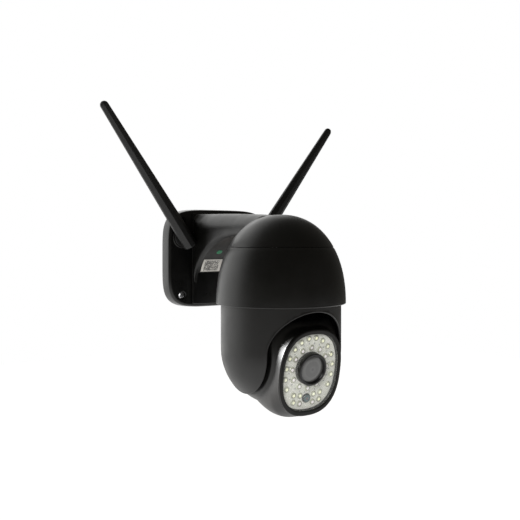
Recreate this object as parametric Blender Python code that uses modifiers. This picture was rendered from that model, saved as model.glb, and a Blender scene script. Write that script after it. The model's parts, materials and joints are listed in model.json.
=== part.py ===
"""Outdoor pan and tilt security camera on a wall bracket.

Metres, +Z up. The origin is the middle of the bracket's back face, which rests on the wall at y = 0.
The camera looks along -Y. The dome hangs from the bracket's arm, the lower housing turns under the
dome about a vertical axis, the head tips between the housing's two cheeks, and each aerial swings
round its socket in a plane parallel to the wall.
"""

import math

import bmesh
import bpy
from mathutils import Matrix, Vector

MM = 0.001
GAP = 0.3 * MM  # clearance between pieces that touch

# Wall plate
PLATE_WIDTH = 124 * MM
PLATE_HEIGHT = 106 * MM
PLATE_POWER = 4.8  # superellipse exponent of the plate's outline
PLATE_DEPTH = 15.3 * MM
PLATE_WALL = 3 * MM
PLATE_EDGE = 3 * MM
BLOCK_HALF = 34.4 * MM  # half width of the raised middle of the plate, where the arm starts
BLOCK_RAISE = 1.7 * MM
SCREW_X = 46 * MM
SCREW_Z = 39.2 * MM
WALL_HOLE_X = 30 * MM
WALL_HOLE_Z = 36 * MM
GLAND_X = 18 * MM

# Aerials
AERIAL_PIVOT_X = 46.2 * MM
AERIAL_PIVOT_Z = 22 * MM
AERIAL_Y = -25 * MM
AERIAL_LEAN = {"left": math.radians(34.2), "right": math.radians(36.8)}
AERIAL_LENGTH = 172.5 * MM
AERIAL_FOOT = 10.5 * MM  # how far the blade runs on below its pivot
AERIAL_FOOT_HALF = (7.2 * MM, 6.3 * MM)
AERIAL_TIP_HALF = (4.2 * MM, 3.9 * MM)

# Arm, as half width, top height and shoulder radius at distances from the wall
ARM_STATIONS = (
    (17.3, 34.3, 47.6, 6.0),
    (21.0, 33.5, 47.6, 11.0),
    (27.0, 32.6, 47.5, 15.0),
    (36.0, 31.8, 47.4, 17.0),
    (50.0, 30.8, 47.2, 18.0),
    (66.0, 29.4, 46.8, 18.0),
    (84.0, 28.0, 46.2, 18.0),
    (104.0, 26.6, 45.0, 18.0),
    (123.0, 25.4, 43.4, 18.0),
)
ARM_WALL = 4 * MM
ARCH_CENTRE = (-96.6 * MM, -26.2 * MM)  # y, z of the quarter ellipse under the arm
ARCH_RADII = (78.2 * MM, 49.5 * MM)

# Dome
PAN_Y = -135 * MM
LIP_Z = -40 * MM
APEX_Z = 44.4 * MM
DOME_RADIUS = 62 * MM
DOME_POWER = 2.2
DOME_WALL = 3 * MM
SEAM_Z = 13.5 * MM
LEAD_HOLE_Z = 32 * MM

# Lower housing
PAN_RADIUS = 57.5 * MM
PAN_WALL = 2 * MM
PAN_TOP_Z = -36.3 * MM
DECK_DEPTH = 2.5 * MM
TILT_Z = -82 * MM
SLOT_HALF = 41.5 * MM
SLOT_TOP = 38.5 * MM  # height of the slot's arch above the tilt axis
SLOT_BACK = -25 * MM  # height, from the tilt axis, of the slot's rear end
HUB_RADIUS = 11.3 * MM

# Head, in its own frame: forward is -Y, up is +Z, and the origin is on the tilt axis
TILT_REST = math.radians(10)
HEAD_RADIUS = 54.8 * MM
HEAD_HALF = 38.3 * MM
HEAD_BACK_RADIUS = 42 * MM
HEAD_WALL = 2.2 * MM
HEAD_SPLIT = 8 * MM
FACE_CENTRE = -8.7 * MM
FACE_POWER = 2.5
FACE_FRONT = 52.2 * MM
BEZEL_HALF = (33.2 * MM, 40.6 * MM)
PANEL_HALF = (30 * MM, 36 * MM)
BEZEL_DEPTH = 3.2 * MM
# The head's front, as distance forward, half width, top, bottom and superellipse exponent
SNOUT_STATIONS = (
    (1, 37.0, 35.5, -51.4, 2.7),
    (9, 37.0, 35.5, -54.0, 3.1),
    (20, 36.6, 35.0, -55.4, 3.2),
    (30, 36.0, 34.4, -55.9, 3.1),
    (39, 35.1, 33.5, -54.6, 2.9),
    (46, 33.9, 32.3, -51.2, 2.6),
    (49, 33.2, 31.9, -49.3, 2.5),
)
LENS_Z = -5.1 * MM
LENS_RADIUS = 15 * MM
GLASS_RADIUS = 12 * MM
CELL_Z = -33.7 * MM
CELL_RADIUS = 4.3 * MM
LED_RADIUS = 2.6 * MM

# Gears: one module for both trains
MODULE = 1 * MM
PAN_TEETH = 48
TILT_TEETH = 40
PINION_TEETH = 12
BACKLASH = 0.16 * MM
MOTOR_RADIUS = 11 * MM

BLACK = ((0.012, 0.012, 0.012), 0.35, 0.0)
SATIN_BLACK = ((0.016, 0.016, 0.017), 0.5, 0.0)
RUBBER = ((0.01, 0.01, 0.01), 0.8, 0.0)
STEEL = ((0.55, 0.55, 0.56), 0.3, 1.0)
BRASS = ((0.7, 0.5, 0.2), 0.35, 1.0)
NYLON = ((0.75, 0.75, 0.7), 0.5, 0.0)
GREEN_BOARD = ((0.02, 0.12, 0.05), 0.5, 0.0)
WHITE = ((0.8, 0.8, 0.78), 0.5, 0.0)
CLEAR = ((0.85, 0.88, 0.9), 0.05, 0.0)
ALUMINIUM = ((0.7, 0.7, 0.72), 0.4, 1.0)
GLASS = ((0.04, 0.04, 0.05), 0.05, 0.0)


def clear_scene():
    for obj in list(bpy.data.objects):
        bpy.data.objects.remove(obj)


clear_scene()
PARTS = bpy.data.collections.new("security_camera")
CUTTERS = bpy.data.collections.new("cutters")
for made in (PARTS, CUTTERS):
    bpy.context.scene.collection.children.link(made)


# Making and joining objects


def place(obj, parent=None, finish=None):
    """Puts a new object in the parts, or among the cutters if it has no finish."""
    (PARTS if finish else CUTTERS).objects.link(obj)
    obj.parent = parent
    if finish:
        colour, roughness, metallic = finish
        material = bpy.data.materials.new(obj.name)
        material.use_nodes = True
        shader = material.node_tree.nodes["Principled BSDF"]
        shader.inputs["Base Color"].default_value = (*colour, 1)
        shader.inputs["Roughness"].default_value = roughness
        shader.inputs["Metallic"].default_value = metallic
        obj.data.materials.append(material)
    else:
        obj.hide_render = True
        obj.display_type = "WIRE"
    return obj


def from_bmesh(name, bm, parent=None, finish=None):
    """A new object from a closed bmesh, with its faces turned outward."""
    mesh = bpy.data.meshes.new(name)
    bmesh.ops.triangulate(bm, faces=[face for face in bm.faces if len(face.verts) > 3])
    if bm.calc_volume(signed=True) < 0:
        bmesh.ops.reverse_faces(bm, faces=bm.faces)
    bm.normal_update()
    bm.to_mesh(mesh)
    bm.free()
    return place(bpy.data.objects.new(name, mesh), parent, finish)


def combine(target, operation, *others):
    for other in others:
        modifier = target.modifiers.new(other.name, "BOOLEAN")
        modifier.operation = operation
        modifier.object = other
        modifier.solver = "EXACT"
    return target


def cut(target, *others):
    return combine(target, "DIFFERENCE", *others)


def join(target, *others):
    return combine(target, "UNION", *others)


def keep(target, *others):
    return combine(target, "INTERSECT", *others)


def box(name, low, high, parent=None, finish=None):
    bm = bmesh.new()
    low, high = Vector(low), Vector(high)
    size = Matrix.Diagonal((*(high - low), 1))
    bmesh.ops.create_cube(bm, size=1, matrix=Matrix.Translation((low + high) / 2) @ size)
    return from_bmesh(name, bm, parent, finish)


TURN_TO = {
    "X": Matrix.Rotation(math.pi / 2, 4, "Y"),
    "Y": Matrix.Rotation(-math.pi / 2, 4, "X"),
    "Z": Matrix.Identity(4),
}


def cylinder(name, radius, start, length, axis="Z", sides=32, parent=None, finish=None):
    """A cylinder from start along +axis. Its two radii may differ."""
    radii = radius if isinstance(radius, tuple) else (radius, radius)
    bm = bmesh.new()
    middle = Matrix.Translation((0, 0, length / 2))
    bmesh.ops.create_cone(
        bm, cap_ends=True, segments=sides, radius1=radii[0], radius2=radii[1], depth=length,
        matrix=Matrix.Translation(start) @ TURN_TO[axis] @ middle,
    )
    return from_bmesh(name, bm, parent, finish)


def turned(name, profile, centre=(0, 0, 0), axis="Z", sides=48, parent=None, finish=None):
    """A closed profile of (radius, height) points, spun about an axis. It runs down its outer side."""
    bm = bmesh.new()
    points = [bm.verts.new((r, 0, h)) for r, h in profile]
    for a, b in zip(points, points[1:] + points[:1]):
        if a.co.x > 0 or b.co.x > 0:
            bm.edges.new((a, b))
    mesh = bpy.data.meshes.new(name)
    bm.to_mesh(mesh)
    bm.free()
    obj = place(bpy.data.objects.new(name, mesh), parent, finish)
    obj.matrix_local = Matrix.Translation(centre) @ TURN_TO[axis]
    screw = obj.modifiers.new("Screw", "SCREW")
    screw.steps = screw.render_steps = sides
    screw.use_merge_vertices = True
    screw.merge_threshold = 0.00001
    screw.use_smooth_shade = True
    return obj


def ring(name, outer, inner, start, length, axis="Z", sides=32, parent=None, finish=None):
    profile = ((outer, length), (outer, 0), (inner, 0), (inner, length))
    return turned(name, profile, start, axis, sides, parent, finish)


def slab(name, outlines, thickness, matrix, parent=None, finish=None):
    """Flat outlines, the first one the edge and the rest its holes, thickened from z = 0 up and then moved."""
    curve = bpy.data.curves.new(name, "CURVE")
    curve.dimensions = "2D"
    curve.fill_mode = "BOTH"
    curve.extrude = thickness / 2
    for outline in outlines:
        spline = curve.splines.new("POLY")
        spline.points.add(len(outline) - 1)
        for point, (x, y) in zip(spline.points, outline):
            point.co = (x, y, 0, 1)
        spline.use_cyclic_u = True
    flat = bpy.data.objects.new(name + "_outline", curve)
    bpy.context.scene.collection.objects.link(flat)
    mesh = bpy.data.meshes.new_from_object(flat.evaluated_get(bpy.context.evaluated_depsgraph_get()))
    bpy.data.objects.remove(flat)
    bm = bmesh.new()
    bm.from_mesh(mesh)
    bmesh.ops.remove_doubles(bm, verts=bm.verts, dist=0.000001)
    bm.transform(matrix @ Matrix.Translation((0, 0, thickness / 2)))
    return from_bmesh(name, bm, parent, finish)


def loft(name, sections, parent=None, finish=None):
    """A closed solid through sections, each a list of points that go round the same way."""
    bm = bmesh.new()
    rings = [[bm.verts.new(p) for p in section] for section in sections]
    for lower, upper in zip(rings, rings[1:]):
        for i in range(len(lower)):
            j = (i + 1) % len(lower)
            bm.faces.new((lower[i], lower[j], upper[j], upper[i]))
    bm.faces.new(rings[0])
    bm.faces.new(rings[-1])
    bmesh.ops.recalc_face_normals(bm, faces=bm.faces)
    return from_bmesh(name, bm, parent, finish)


def tube(name, points, radius, sides_resolution=2, parent=None, finish=None):
    """A round lead through points, read from a smooth curve through them."""
    curve = bpy.data.curves.new(name, "CURVE")
    curve.dimensions = "3D"
    curve.bevel_depth = radius
    curve.bevel_resolution = sides_resolution
    curve.use_fill_caps = True
    route = smooth_route(points)
    spline = curve.splines.new("POLY")
    spline.points.add(len(route) - 1)
    for point, place_at in zip(spline.points, route):
        point.co = (*place_at, 1)
    return place(bpy.data.objects.new(name, curve), parent, finish)


def smooth_route(points, steps=2):
    """Points along a Catmull-Rom curve through the given ones."""
    ends = [Vector(points[0])] + [Vector(p) for p in points] + [Vector(points[-1])]
    route = []
    for a, b, c, d in zip(ends, ends[1:], ends[2:], ends[3:]):
        for step in range(steps):
            t = step / steps
            bend = 2 * b + (c - a) * t + (2 * a - 5 * b + 4 * c - d) * t * t
            route.append((bend + (3 * b - a - 3 * c + d) * t**3) / 2)
    return route + [Vector(points[-1])]


# Outlines


def oval(half_width, half_height, power=2.0, count=32, centre=(0, 0)):
    """A superellipse: an ellipse at power 2, squarer as the power grows."""
    points = []
    for i in range(count):
        turn = 2 * math.pi * i / count
        c, s = math.cos(turn), math.sin(turn)
        points.append((
            centre[0] + half_width * math.copysign(abs(c) ** (2 / power), c),
            centre[1] + half_height * math.copysign(abs(s) ** (2 / power), s),
        ))
    return points


def arc(centre, radii, start, end, count):
    """Points on an ellipse's arc, from the start angle to the end angle, in degrees."""
    points = []
    for i in range(count):
        turn = math.radians(start + (end - start) * i / (count - 1))
        points.append((centre[0] + radii[0] * math.cos(turn), centre[1] + radii[1] * math.sin(turn)))
    return points


def involute_gap(radius, base):
    """The angle that an involute from the base circle has turned through at a radius."""
    if radius <= base:
        return 0
    steepness = math.sqrt((radius / base) ** 2 - 1)
    return steepness - math.atan(steepness)


def gear_outline(teeth, turn=0.0):
    """A spur gear's outline, with a tooth centred on the angle turn."""
    pitch = teeth * MODULE / 2
    base = pitch * math.cos(math.radians(20))
    radii = [pitch - 1.2 * MODULE, pitch + 0.85 * MODULE]
    half_at_pitch = math.pi / 2 / teeth - BACKLASH / 2 / pitch
    outline = []
    for tooth in range(teeth):
        middle = turn + 2 * math.pi * tooth / teeth
        halves = [half_at_pitch + involute_gap(pitch, base) - involute_gap(r, base) for r in radii]
        flank = list(zip(radii, halves))
        for radius, half in flank:
            outline.append((radius * math.cos(middle - half), radius * math.sin(middle - half)))
        for radius, half in reversed(flank):
            outline.append((radius * math.cos(middle + half), radius * math.sin(middle + half)))
    return outline


# Frames that turn an outline's x, y and thickness into the object's axes

UPRIGHT = Matrix(((1, 0, 0, 0), (0, 0, -1, 0), (0, 1, 0, 0), (0, 0, 0, 1)))  # x, z, thickness to -Y
SIDEWAYS = Matrix(((0, 0, 1, 0), (-1, 0, 0, 0), (0, 1, 0, 0), (0, 0, 0, 1)))  # -y, z, thickness to +X


def facing(distance):
    """The frame of an outline that faces forward, this far in front of the origin."""
    return Matrix.Translation((0, -distance, 0)) @ UPRIGHT


def sideways(distance, y=0.0, z=0.0):
    """The frame of an outline that faces +X, at x = distance."""
    return Matrix.Translation((distance, y, z)) @ SIDEWAYS


# The bracket


def plate_outline(inset=0.0, count=36):
    return oval(PLATE_WIDTH / 2 - inset, PLATE_HEIGHT / 2 - inset, PLATE_POWER, count)


def make_wall_plate():
    """The pillow-shaped shell on the wall, open at its back, with a raised middle that the arm starts from."""
    room = PLATE_WALL + 0.8 * MM
    # From the hollow's floor out to its rim, over the rim, and up the outside to the front.
    steps = ((PLATE_DEPTH - PLATE_WALL, room), (0, room), (0, 0), (PLATE_DEPTH - PLATE_EDGE, 0.8 * MM),
             (PLATE_DEPTH - 1 * MM, 1.8 * MM), (PLATE_DEPTH, PLATE_EDGE + 0.8 * MM))
    sections = [[(x, -depth, z) for x, z in plate_outline(inset)] for depth, inset in steps]
    plate = loft("wall_plate", sections, finish=BLACK)
    middle = [(max(-BLOCK_HALF, min(BLOCK_HALF, x)), z) for x, z in plate_outline(3.8 * MM, 36)]
    middle = [p for p, q in zip(middle, middle[1:] + middle[:1]) if p != q]
    join(plate, slab("plate_middle", [middle], 2 * BLOCK_RAISE, facing(PLATE_DEPTH - BLOCK_RAISE)))
    for x, z in screw_places():
        join(plate, cylinder(f"boss_{x:.3f}_{z:.3f}", 5.7 * MM, (x, -3.4 * MM, z), -10.5 * MM, "Y", 16))
        cut(plate, cylinder(f"bore_{x:.3f}_{z:.3f}", 2 * MM, (x, 1 * MM, z), -20 * MM, "Y", 10))
        cut(plate, cylinder(f"seat_{x:.3f}_{z:.3f}", 4.3 * MM, (x, -12 * MM, z), -6 * MM, "Y", 16))
    for side in (-1, 1):
        cut(plate, cylinder(f"socket_hole_{side}", 9.3 * MM, (side * AERIAL_PIVOT_X, -10 * MM, AERIAL_PIVOT_Z),
                            -8 * MM, "Y", 20))
    cut(plate, box("arm_window", (-24 * MM, -20 * MM, 4 * MM), (24 * MM, -8 * MM, 36 * MM)))
    cut(plate, cylinder("gland_hole", 4.3 * MM, (GLAND_X, -8 * MM, -60 * MM), 16 * MM, "Z", 16))


def screw_places():
    return [(x, z) for x in (-SCREW_X, SCREW_X) for z in (-SCREW_Z, SCREW_Z)]


def make_back_plate():
    """The flat plate that is fixed to the wall first. The shell's four screws go into it."""
    holes = [oval(2 * MM, 2 * MM, count=10, centre=place_at) for place_at in screw_places()]
    for x in (-WALL_HOLE_X, WALL_HOLE_X):
        for z in (-WALL_HOLE_Z, WALL_HOLE_Z):
            holes.append(oval(2.6 * MM, 2.6 * MM, count=12, centre=(x, z)))
    edge = plate_outline(PLATE_WALL + 0.8 * MM + GAP)
    slab("back_plate", [edge] + holes, 3 * MM, facing(0), finish=STEEL)


def make_plate_screws():
    names = ("lower_left", "upper_left", "lower_right", "upper_right")
    for name, (x, z) in zip(names, screw_places()):
        head, shank = 3.7 * MM, 1.6 * MM
        profile = ((0, 12.9 * MM), (head * 0.6, 12.7 * MM), (head, 11.9 * MM), (head, 10.7 * MM), (shank, 10.7 * MM),
                   (shank, 0.4 * MM), (0, 0))
        obj = turned(f"plate_screw_{name}", profile, (x, -1.3 * MM, z), "Y", 20, finish=STEEL)
        obj.matrix_local = Matrix.Translation((x, -1.3 * MM, z)) @ Matrix.Rotation(math.pi / 2, 4, "X")
        for angle in (0, 90):
            slot = box(f"{obj.name}_cross_{angle}", (-2.2 * MM, -0.45 * MM, 11.7 * MM), (2.2 * MM, 0.45 * MM, 14 * MM))
            slot.matrix_local = obj.matrix_local @ Matrix.Rotation(math.radians(angle), 4, "Z")
            cut(obj, slot)


def make_cable_gland():
    """The gland in the plate's lower edge that the camera's lead would come out of."""
    profile = ((6.4 * MM, 4.6 * MM), (6.4 * MM, 0.8 * MM), (5.4 * MM, 0), (2.6 * MM, 0), (2.6 * MM, 12.4 * MM),
               (4 * MM, 12.4 * MM), (4 * MM, 4.6 * MM))
    turned("cable_gland", profile, (GLAND_X, -8 * MM, -PLATE_HEIGHT / 2 - 5.2 * MM), "Z", 24, finish=RUBBER)


def make_aerial_sockets():
    for side, name in ((-1, "left"), (1, "right")):
        profile = ((10.8 * MM, 9.2 * MM), (10.8 * MM, 7.6 * MM), (9 * MM, 7.6 * MM), (9 * MM, 0), (6.3 * MM, 0),
                   (6.3 * MM, 9.2 * MM))
        obj = turned(f"aerial_socket_{name}", profile, (0, 0, 0), "Z", 28, finish=SATIN_BLACK)
        obj.matrix_local = (Matrix.Translation((side * AERIAL_PIVOT_X, -8 * MM, AERIAL_PIVOT_Z))
                            @ Matrix.Rotation(math.pi / 2, 4, "X"))


def aerial_section(z, half_x, half_y, count=12):
    """A flattened twelve-sided section, facets and all."""
    return [(x, y, z) for x, y in oval(half_x, half_y, 2.6, count)]


def make_aerials():
    """Each aerial is a blade on a hub, and turns with an empty on the hub's axis."""
    for side, name in ((-1, "left"), (1, "right")):
        pivot = bpy.data.objects.new(f"aerial_axis_{name}", None)
        PARTS.objects.link(pivot)
        pivot.location = (side * AERIAL_PIVOT_X, AERIAL_Y, AERIAL_PIVOT_Z)
        pivot.rotation_euler = (0, side * AERIAL_LEAN[name], 0)
        top = AERIAL_LENGTH - AERIAL_FOOT
        (fx, fy), (tx, ty) = AERIAL_FOOT_HALF, AERIAL_TIP_HALF
        sections = (
            aerial_section(-AERIAL_FOOT, fx * 0.9, fy * 0.9), aerial_section(-AERIAL_FOOT + 1 * MM, fx, fy),
            aerial_section(14 * MM, fx, fy), aerial_section(top - 4 * MM, tx, ty),
            aerial_section(top - 1.2 * MM, tx * 0.8, ty * 0.8), aerial_section(top, tx * 0.4, ty * 0.4),
        )
        loft(f"aerial_blade_{name}", sections, pivot, SATIN_BLACK)
        back = fy + GAP  # the hub's front face lies against the blade's back
        profile = ((9 * MM, 0.9 * MM), (9 * MM, 0), (0, 0), (0, 10.2 * MM), (6 * MM, 10.2 * MM), (6 * MM, 0.9 * MM))
        hub = turned(f"aerial_hub_{name}", profile, (0, back, 0), "Y", 28, pivot, SATIN_BLACK)
        hub.matrix_local = Matrix.Translation((0, back, 0)) @ Matrix.Rotation(-math.pi / 2, 4, "X")


def arch_point(degrees, outward=0.0):
    """A point (y, z) on the ellipse under the arm, or this far outside it."""
    turn = math.radians(degrees)
    a, b = ARCH_RADII
    normal = Vector((b * math.cos(turn), a * math.sin(turn))).normalized()
    return Vector((ARCH_CENTRE[0] + a * math.cos(turn), ARCH_CENTRE[1] + b * math.sin(turn))) + outward * normal


def arch_height(y):
    share = min(1.0, max(0.0, (y - ARCH_CENTRE[0]) / ARCH_RADII[0]))
    return ARCH_CENTRE[1] + ARCH_RADII[1] * math.sqrt(1 - share * share)


def arm_half_width(y):
    """The arm's half width at y, read between its stations."""
    stations = [(-d * MM, half * MM) for d, half, _, _ in ARM_STATIONS]
    for (y0, h0), (y1, h1) in zip(stations, stations[1:]):
        if y1 <= y <= y0:
            return h0 + (h1 - h0) * (y - y0) / (y1 - y0)
    return stations[0][1] if y > stations[0][0] else stations[-1][1]


def arm_section(y, half, top, shoulder, bottom, foot):
    """The arm's section: round shoulders above, small rounds of radius foot below."""
    shoulder = min(shoulder, top - bottom - foot - 1 * MM)
    right = arc((half - foot, bottom + foot), (foot, foot), -90, 0, 4)
    right += arc((half - shoulder, top - shoulder), (shoulder, shoulder), 0, 90, 8)
    points = right + [(-x, z) for x, z in reversed(right)]
    return [(x, y, z) for x, z in points]


def make_arm():
    """The hollow arm, open underneath, to join to the dome's cap: one casting makes both."""
    outer, inner = [], []
    for distance, half, top, shoulder in ARM_STATIONS:
        y, half, top, shoulder = -distance * MM, half * MM, top * MM, shoulder * MM
        low = arch_height(y)
        outer.append(arm_section(y, half, top, shoulder, low, 4 * MM))
        inner.append(arm_section(y, half - ARM_WALL, top - ARM_WALL, max(2 * MM, shoulder - ARM_WALL),
                                 low - 15 * MM, 1 * MM))
    inner.insert(0, [(x, y + 5 * MM, z) for x, y, z in inner[0]])
    inner.append([(x, y - 5 * MM, z) for x, y, z in inner[-1]])
    arm = loft("bracket_arm", outer)
    room = turned("dome_room", dome_solid_profile(-DOME_WALL / 2), (0, PAN_Y, 0), sides=48)
    return cut(arm, loft("arm_hollow", inner), room)


def make_arm_cover():
    """The curved cover that closes the arm from below, with the rating label on it."""
    def sheet(name, start, end, near, far, side_gap, left, right, finish, steps):
        sections = []
        for i in range(steps + 1):
            degrees = start + (end - start) * i / steps
            y0, z0 = arch_point(degrees, near)
            y1, z1 = arch_point(degrees, far)
            room = arm_half_width(y0) - side_gap
            low, high = -min(room, left), min(room, right)
            sections.append([(low, y0, z0), (high, y0, z0), (high, y1, z1), (low, y1, z1)])
        return loft(name, sections, finish=finish)

    side = ARM_WALL + GAP
    sheet("arm_cover", 12.5, 86, 0.9 * MM, 2.2 * MM, side, 1, 1, SATIN_BLACK, 14)
    sheet("rating_label", 14, 30, 0.3 * MM, 0.6 * MM, side + 0.6 * MM, 26.6 * MM, 16 * MM, WHITE, 4)


# The dome


def dome_radius(z, grow=0.0):
    share = (z - LIP_Z) / (APEX_Z + grow - LIP_Z)
    return (DOME_RADIUS + grow) * max(0.0, 1 - max(0.0, share) ** DOME_POWER) ** (1 / DOME_POWER)


def dome_curve(low, high, grow=0.0, count=7):
    """The dome's side as (radius, height) points from the high level down to the low one."""
    top = APEX_Z + grow
    points = []
    for i in range(count + 1):
        # Levels crowd towards the top, where the dome curves most.
        eased = math.sin(math.pi / 2 * i / count) if high >= top else i / count
        z = high - (high - low) * (1 - eased if high < top else 1 - math.cos(math.pi / 2 * i / count))
        if high < top:
            z = high - (high - low) * i / count
        points.append((dome_radius(z, grow), z))
    return points


def dome_solid_profile(grow):
    curve = dome_curve(SEAM_Z + GAP, APEX_Z + grow, grow)
    curve[0] = (0, APEX_Z + grow)
    return curve + dome_curve(LIP_Z, SEAM_Z, grow, 3) + [(0, LIP_Z)]


def make_dome():
    outer = dome_curve(SEAM_Z + GAP, APEX_Z)
    inner = dome_curve(SEAM_Z + GAP, APEX_Z - DOME_WALL, -DOME_WALL)
    outer[0], inner[0] = (0, APEX_Z), (0, APEX_Z - DOME_WALL)
    cap = turned("dome_and_arm", outer + inner[::-1], (0, PAN_Y, 0), sides=48, finish=BLACK)
    join(cap, make_arm())
    cut(cap, cylinder("lead_hole", 8 * MM, (0, PAN_Y, LEAD_HOLE_Z), 60 * MM, "Y", 16))
    outer = dome_curve(LIP_Z, SEAM_Z, count=3)
    inner = dome_curve(LIP_Z, SEAM_Z, -DOME_WALL, count=3)
    turned("dome_skirt", outer + inner[::-1], (0, PAN_Y, 0), sides=48, finish=BLACK)
    seal = SEAM_Z - 2.4 * MM
    radius = dome_radius(seal, -DOME_WALL) - 2 * MM
    profile = arc((radius - 0.2 * MM, seal), (1.4 * MM, 1.4 * MM), 90, -210, 6)
    turned("seam_seal", profile, (0, PAN_Y, 0), sides=36, finish=RUBBER)


def make_dome_base():
    """The floor of the dome, with posts for the circuit board."""
    base = ring("dome_base", 58.2 * MM, 11.8 * MM, (0, PAN_Y, -33 * MM), 3 * MM, sides=48, finish=SATIN_BLACK)
    for x in (-30, 30):
        for y in (-24, 24):
            post = cylinder(f"post_{x}_{y}", 2.8 * MM, (x * MM, PAN_Y + y * MM, -31 * MM), 32.7 * MM, "Z", 8)
            join(base, post)
    low, high = (-35 * MM, PAN_Y - 29 * MM, 2 * MM), (35 * MM, PAN_Y + 29 * MM, 3.6 * MM)
    box("main_board", low, high, finish=GREEN_BOARD)
    box("wifi_module", (-20 * MM, PAN_Y + 6 * MM, 3.9 * MM), (-2 * MM, PAN_Y + 22 * MM, 6.6 * MM), finish=STEEL)
    box("processor_heat_sink", (4 * MM, PAN_Y - 18 * MM, 3.9 * MM), (20 * MM, PAN_Y - 2 * MM, 9.5 * MM),
        finish=ALUMINIUM)
    for side, name in ((-1, "left"), (1, "right")):
        route = ((45.2, -5.6, 22), (40, -5.8, 22), (34, -6.4, 22.5), (26, -7.6, 24), (18, -12, 27),
                 (10, -22, 31), (6, -38, 33), (5, -60, 34), (4, -88, 34), (4, -106, 31), (5, -114, 22),
                 (7, -117, 13), (9, -119, 8.2))
        points = [(side * x * MM, y * MM, z * MM) for x, y, z in route]
        tube(f"aerial_lead_{name}", points, 0.9 * MM, 1, finish=RUBBER)


# Pan drive: the motor stands on the dome's floor, and the big gear is on the housing's hub


def make_pan_drive():
    centre = (0, PAN_Y)
    hub = ((HUB_RADIUS, 14 * MM), (HUB_RADIUS, 1.4 * MM), (19 * MM, 1.4 * MM), (19 * MM, 0), (8 * MM, 0),
           (8 * MM, 14 * MM))
    turned("pan_hub", hub, (*centre, -36 * MM), sides=32, finish=NYLON)
    ring("thrust_washer", 18.5 * MM, 12.4 * MM, (*centre, -34.3 * MM), 1 * MM, sides=32, finish=BRASS)
    gear = Matrix.Translation((*centre, -29.4 * MM))
    bore = oval(HUB_RADIUS + GAP, HUB_RADIUS + GAP, count=40)
    slab("pan_gear", [gear_outline(PAN_TEETH, math.pi / 2), bore], 3.8 * MM, gear, finish=NYLON)
    ring("hub_nut", 16 * MM, HUB_RADIUS + GAP, (*centre, -25.3 * MM), 2.6 * MM, sides=32, finish=BRASS)
    distance = (PAN_TEETH + PINION_TEETH) * MODULE / 2
    motor_y = PAN_Y + distance
    # A gap between two pinion teeth faces the gear's tooth.
    turn = -math.pi / 2 + math.pi / PINION_TEETH
    place_at = Matrix.Translation((0, motor_y, -29.4 * MM))
    pinion = slab("pan_pinion", [gear_outline(PINION_TEETH, turn)], 5 * MM, place_at, finish=BRASS)
    join(pinion, cylinder("pan_shaft", 2 * MM, (0, motor_y, -26 * MM), 5.6 * MM, "Z", 16))
    bracket = box("pan_motor_bracket", (-20 * MM, motor_y - 14 * MM, -22 * MM), (20 * MM, motor_y + 16 * MM, -20 * MM),
                  finish=STEEL)
    cut(bracket, cylinder("pan_shaft_hole", 3 * MM, (0, motor_y, -24 * MM), 6 * MM, "Z", 16))
    for x in (-17, 17):
        foot = box(f"bracket_foot_{x}", ((x - 3) * MM, motor_y + 6 * MM, -29.7 * MM),
                   ((x + 3) * MM, motor_y + 15 * MM, -21 * MM))
        join(bracket, foot)
    cylinder("pan_motor", MOTOR_RADIUS, (0, motor_y, -19.7 * MM), 17 * MM, "Z", 32, finish=STEEL)


# The lower housing


def make_housing():
    """The turning shell: a round skirt over a half ball, with a slot for the head from its front to under its back."""
    centre = (0, PAN_Y, TILT_Z)
    height = PAN_TOP_Z - TILT_Z
    inner = PAN_RADIUS - PAN_WALL
    outer_ball = arc((0, 0), (PAN_RADIUS, PAN_RADIUS), 0, -90, 12)
    inner_ball = arc((0, 0), (inner, inner), -90, 0, 12)
    outer_ball[-1], inner_ball[0] = (0, -PAN_RADIUS), (0, -inner)
    profile = [(PAN_RADIUS, height)] + outer_ball + inner_ball + [(inner, height)]
    shell = turned("pan_shell", profile, centre, sides=44, finish=BLACK)
    arch = arc((0, 0), (SLOT_HALF, SLOT_TOP), 0, 180, 25) + [(-SLOT_HALF, -80 * MM), (SLOT_HALF, -80 * MM)]
    front = slab("slot_front", [arch], 70 * MM, Matrix.Translation(centre) @ facing(0))
    under = box("slot_under", (-SLOT_HALF, PAN_Y - 70 * MM, TILT_Z - 80 * MM),
                (SLOT_HALF, PAN_Y + 70 * MM, TILT_Z + SLOT_BACK))
    cut(shell, front, under)
    deck = ring("pan_deck", inner - GAP, 8 * MM, (0, PAN_Y, PAN_TOP_Z - DECK_DEPTH), DECK_DEPTH, sides=44,
                finish=SATIN_BLACK)
    cut(deck, box("deck_lead_slot", (20 * MM, PAN_Y + 8 * MM, -45 * MM), (32 * MM, PAN_Y + 16 * MM, -30 * MM)))


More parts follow.
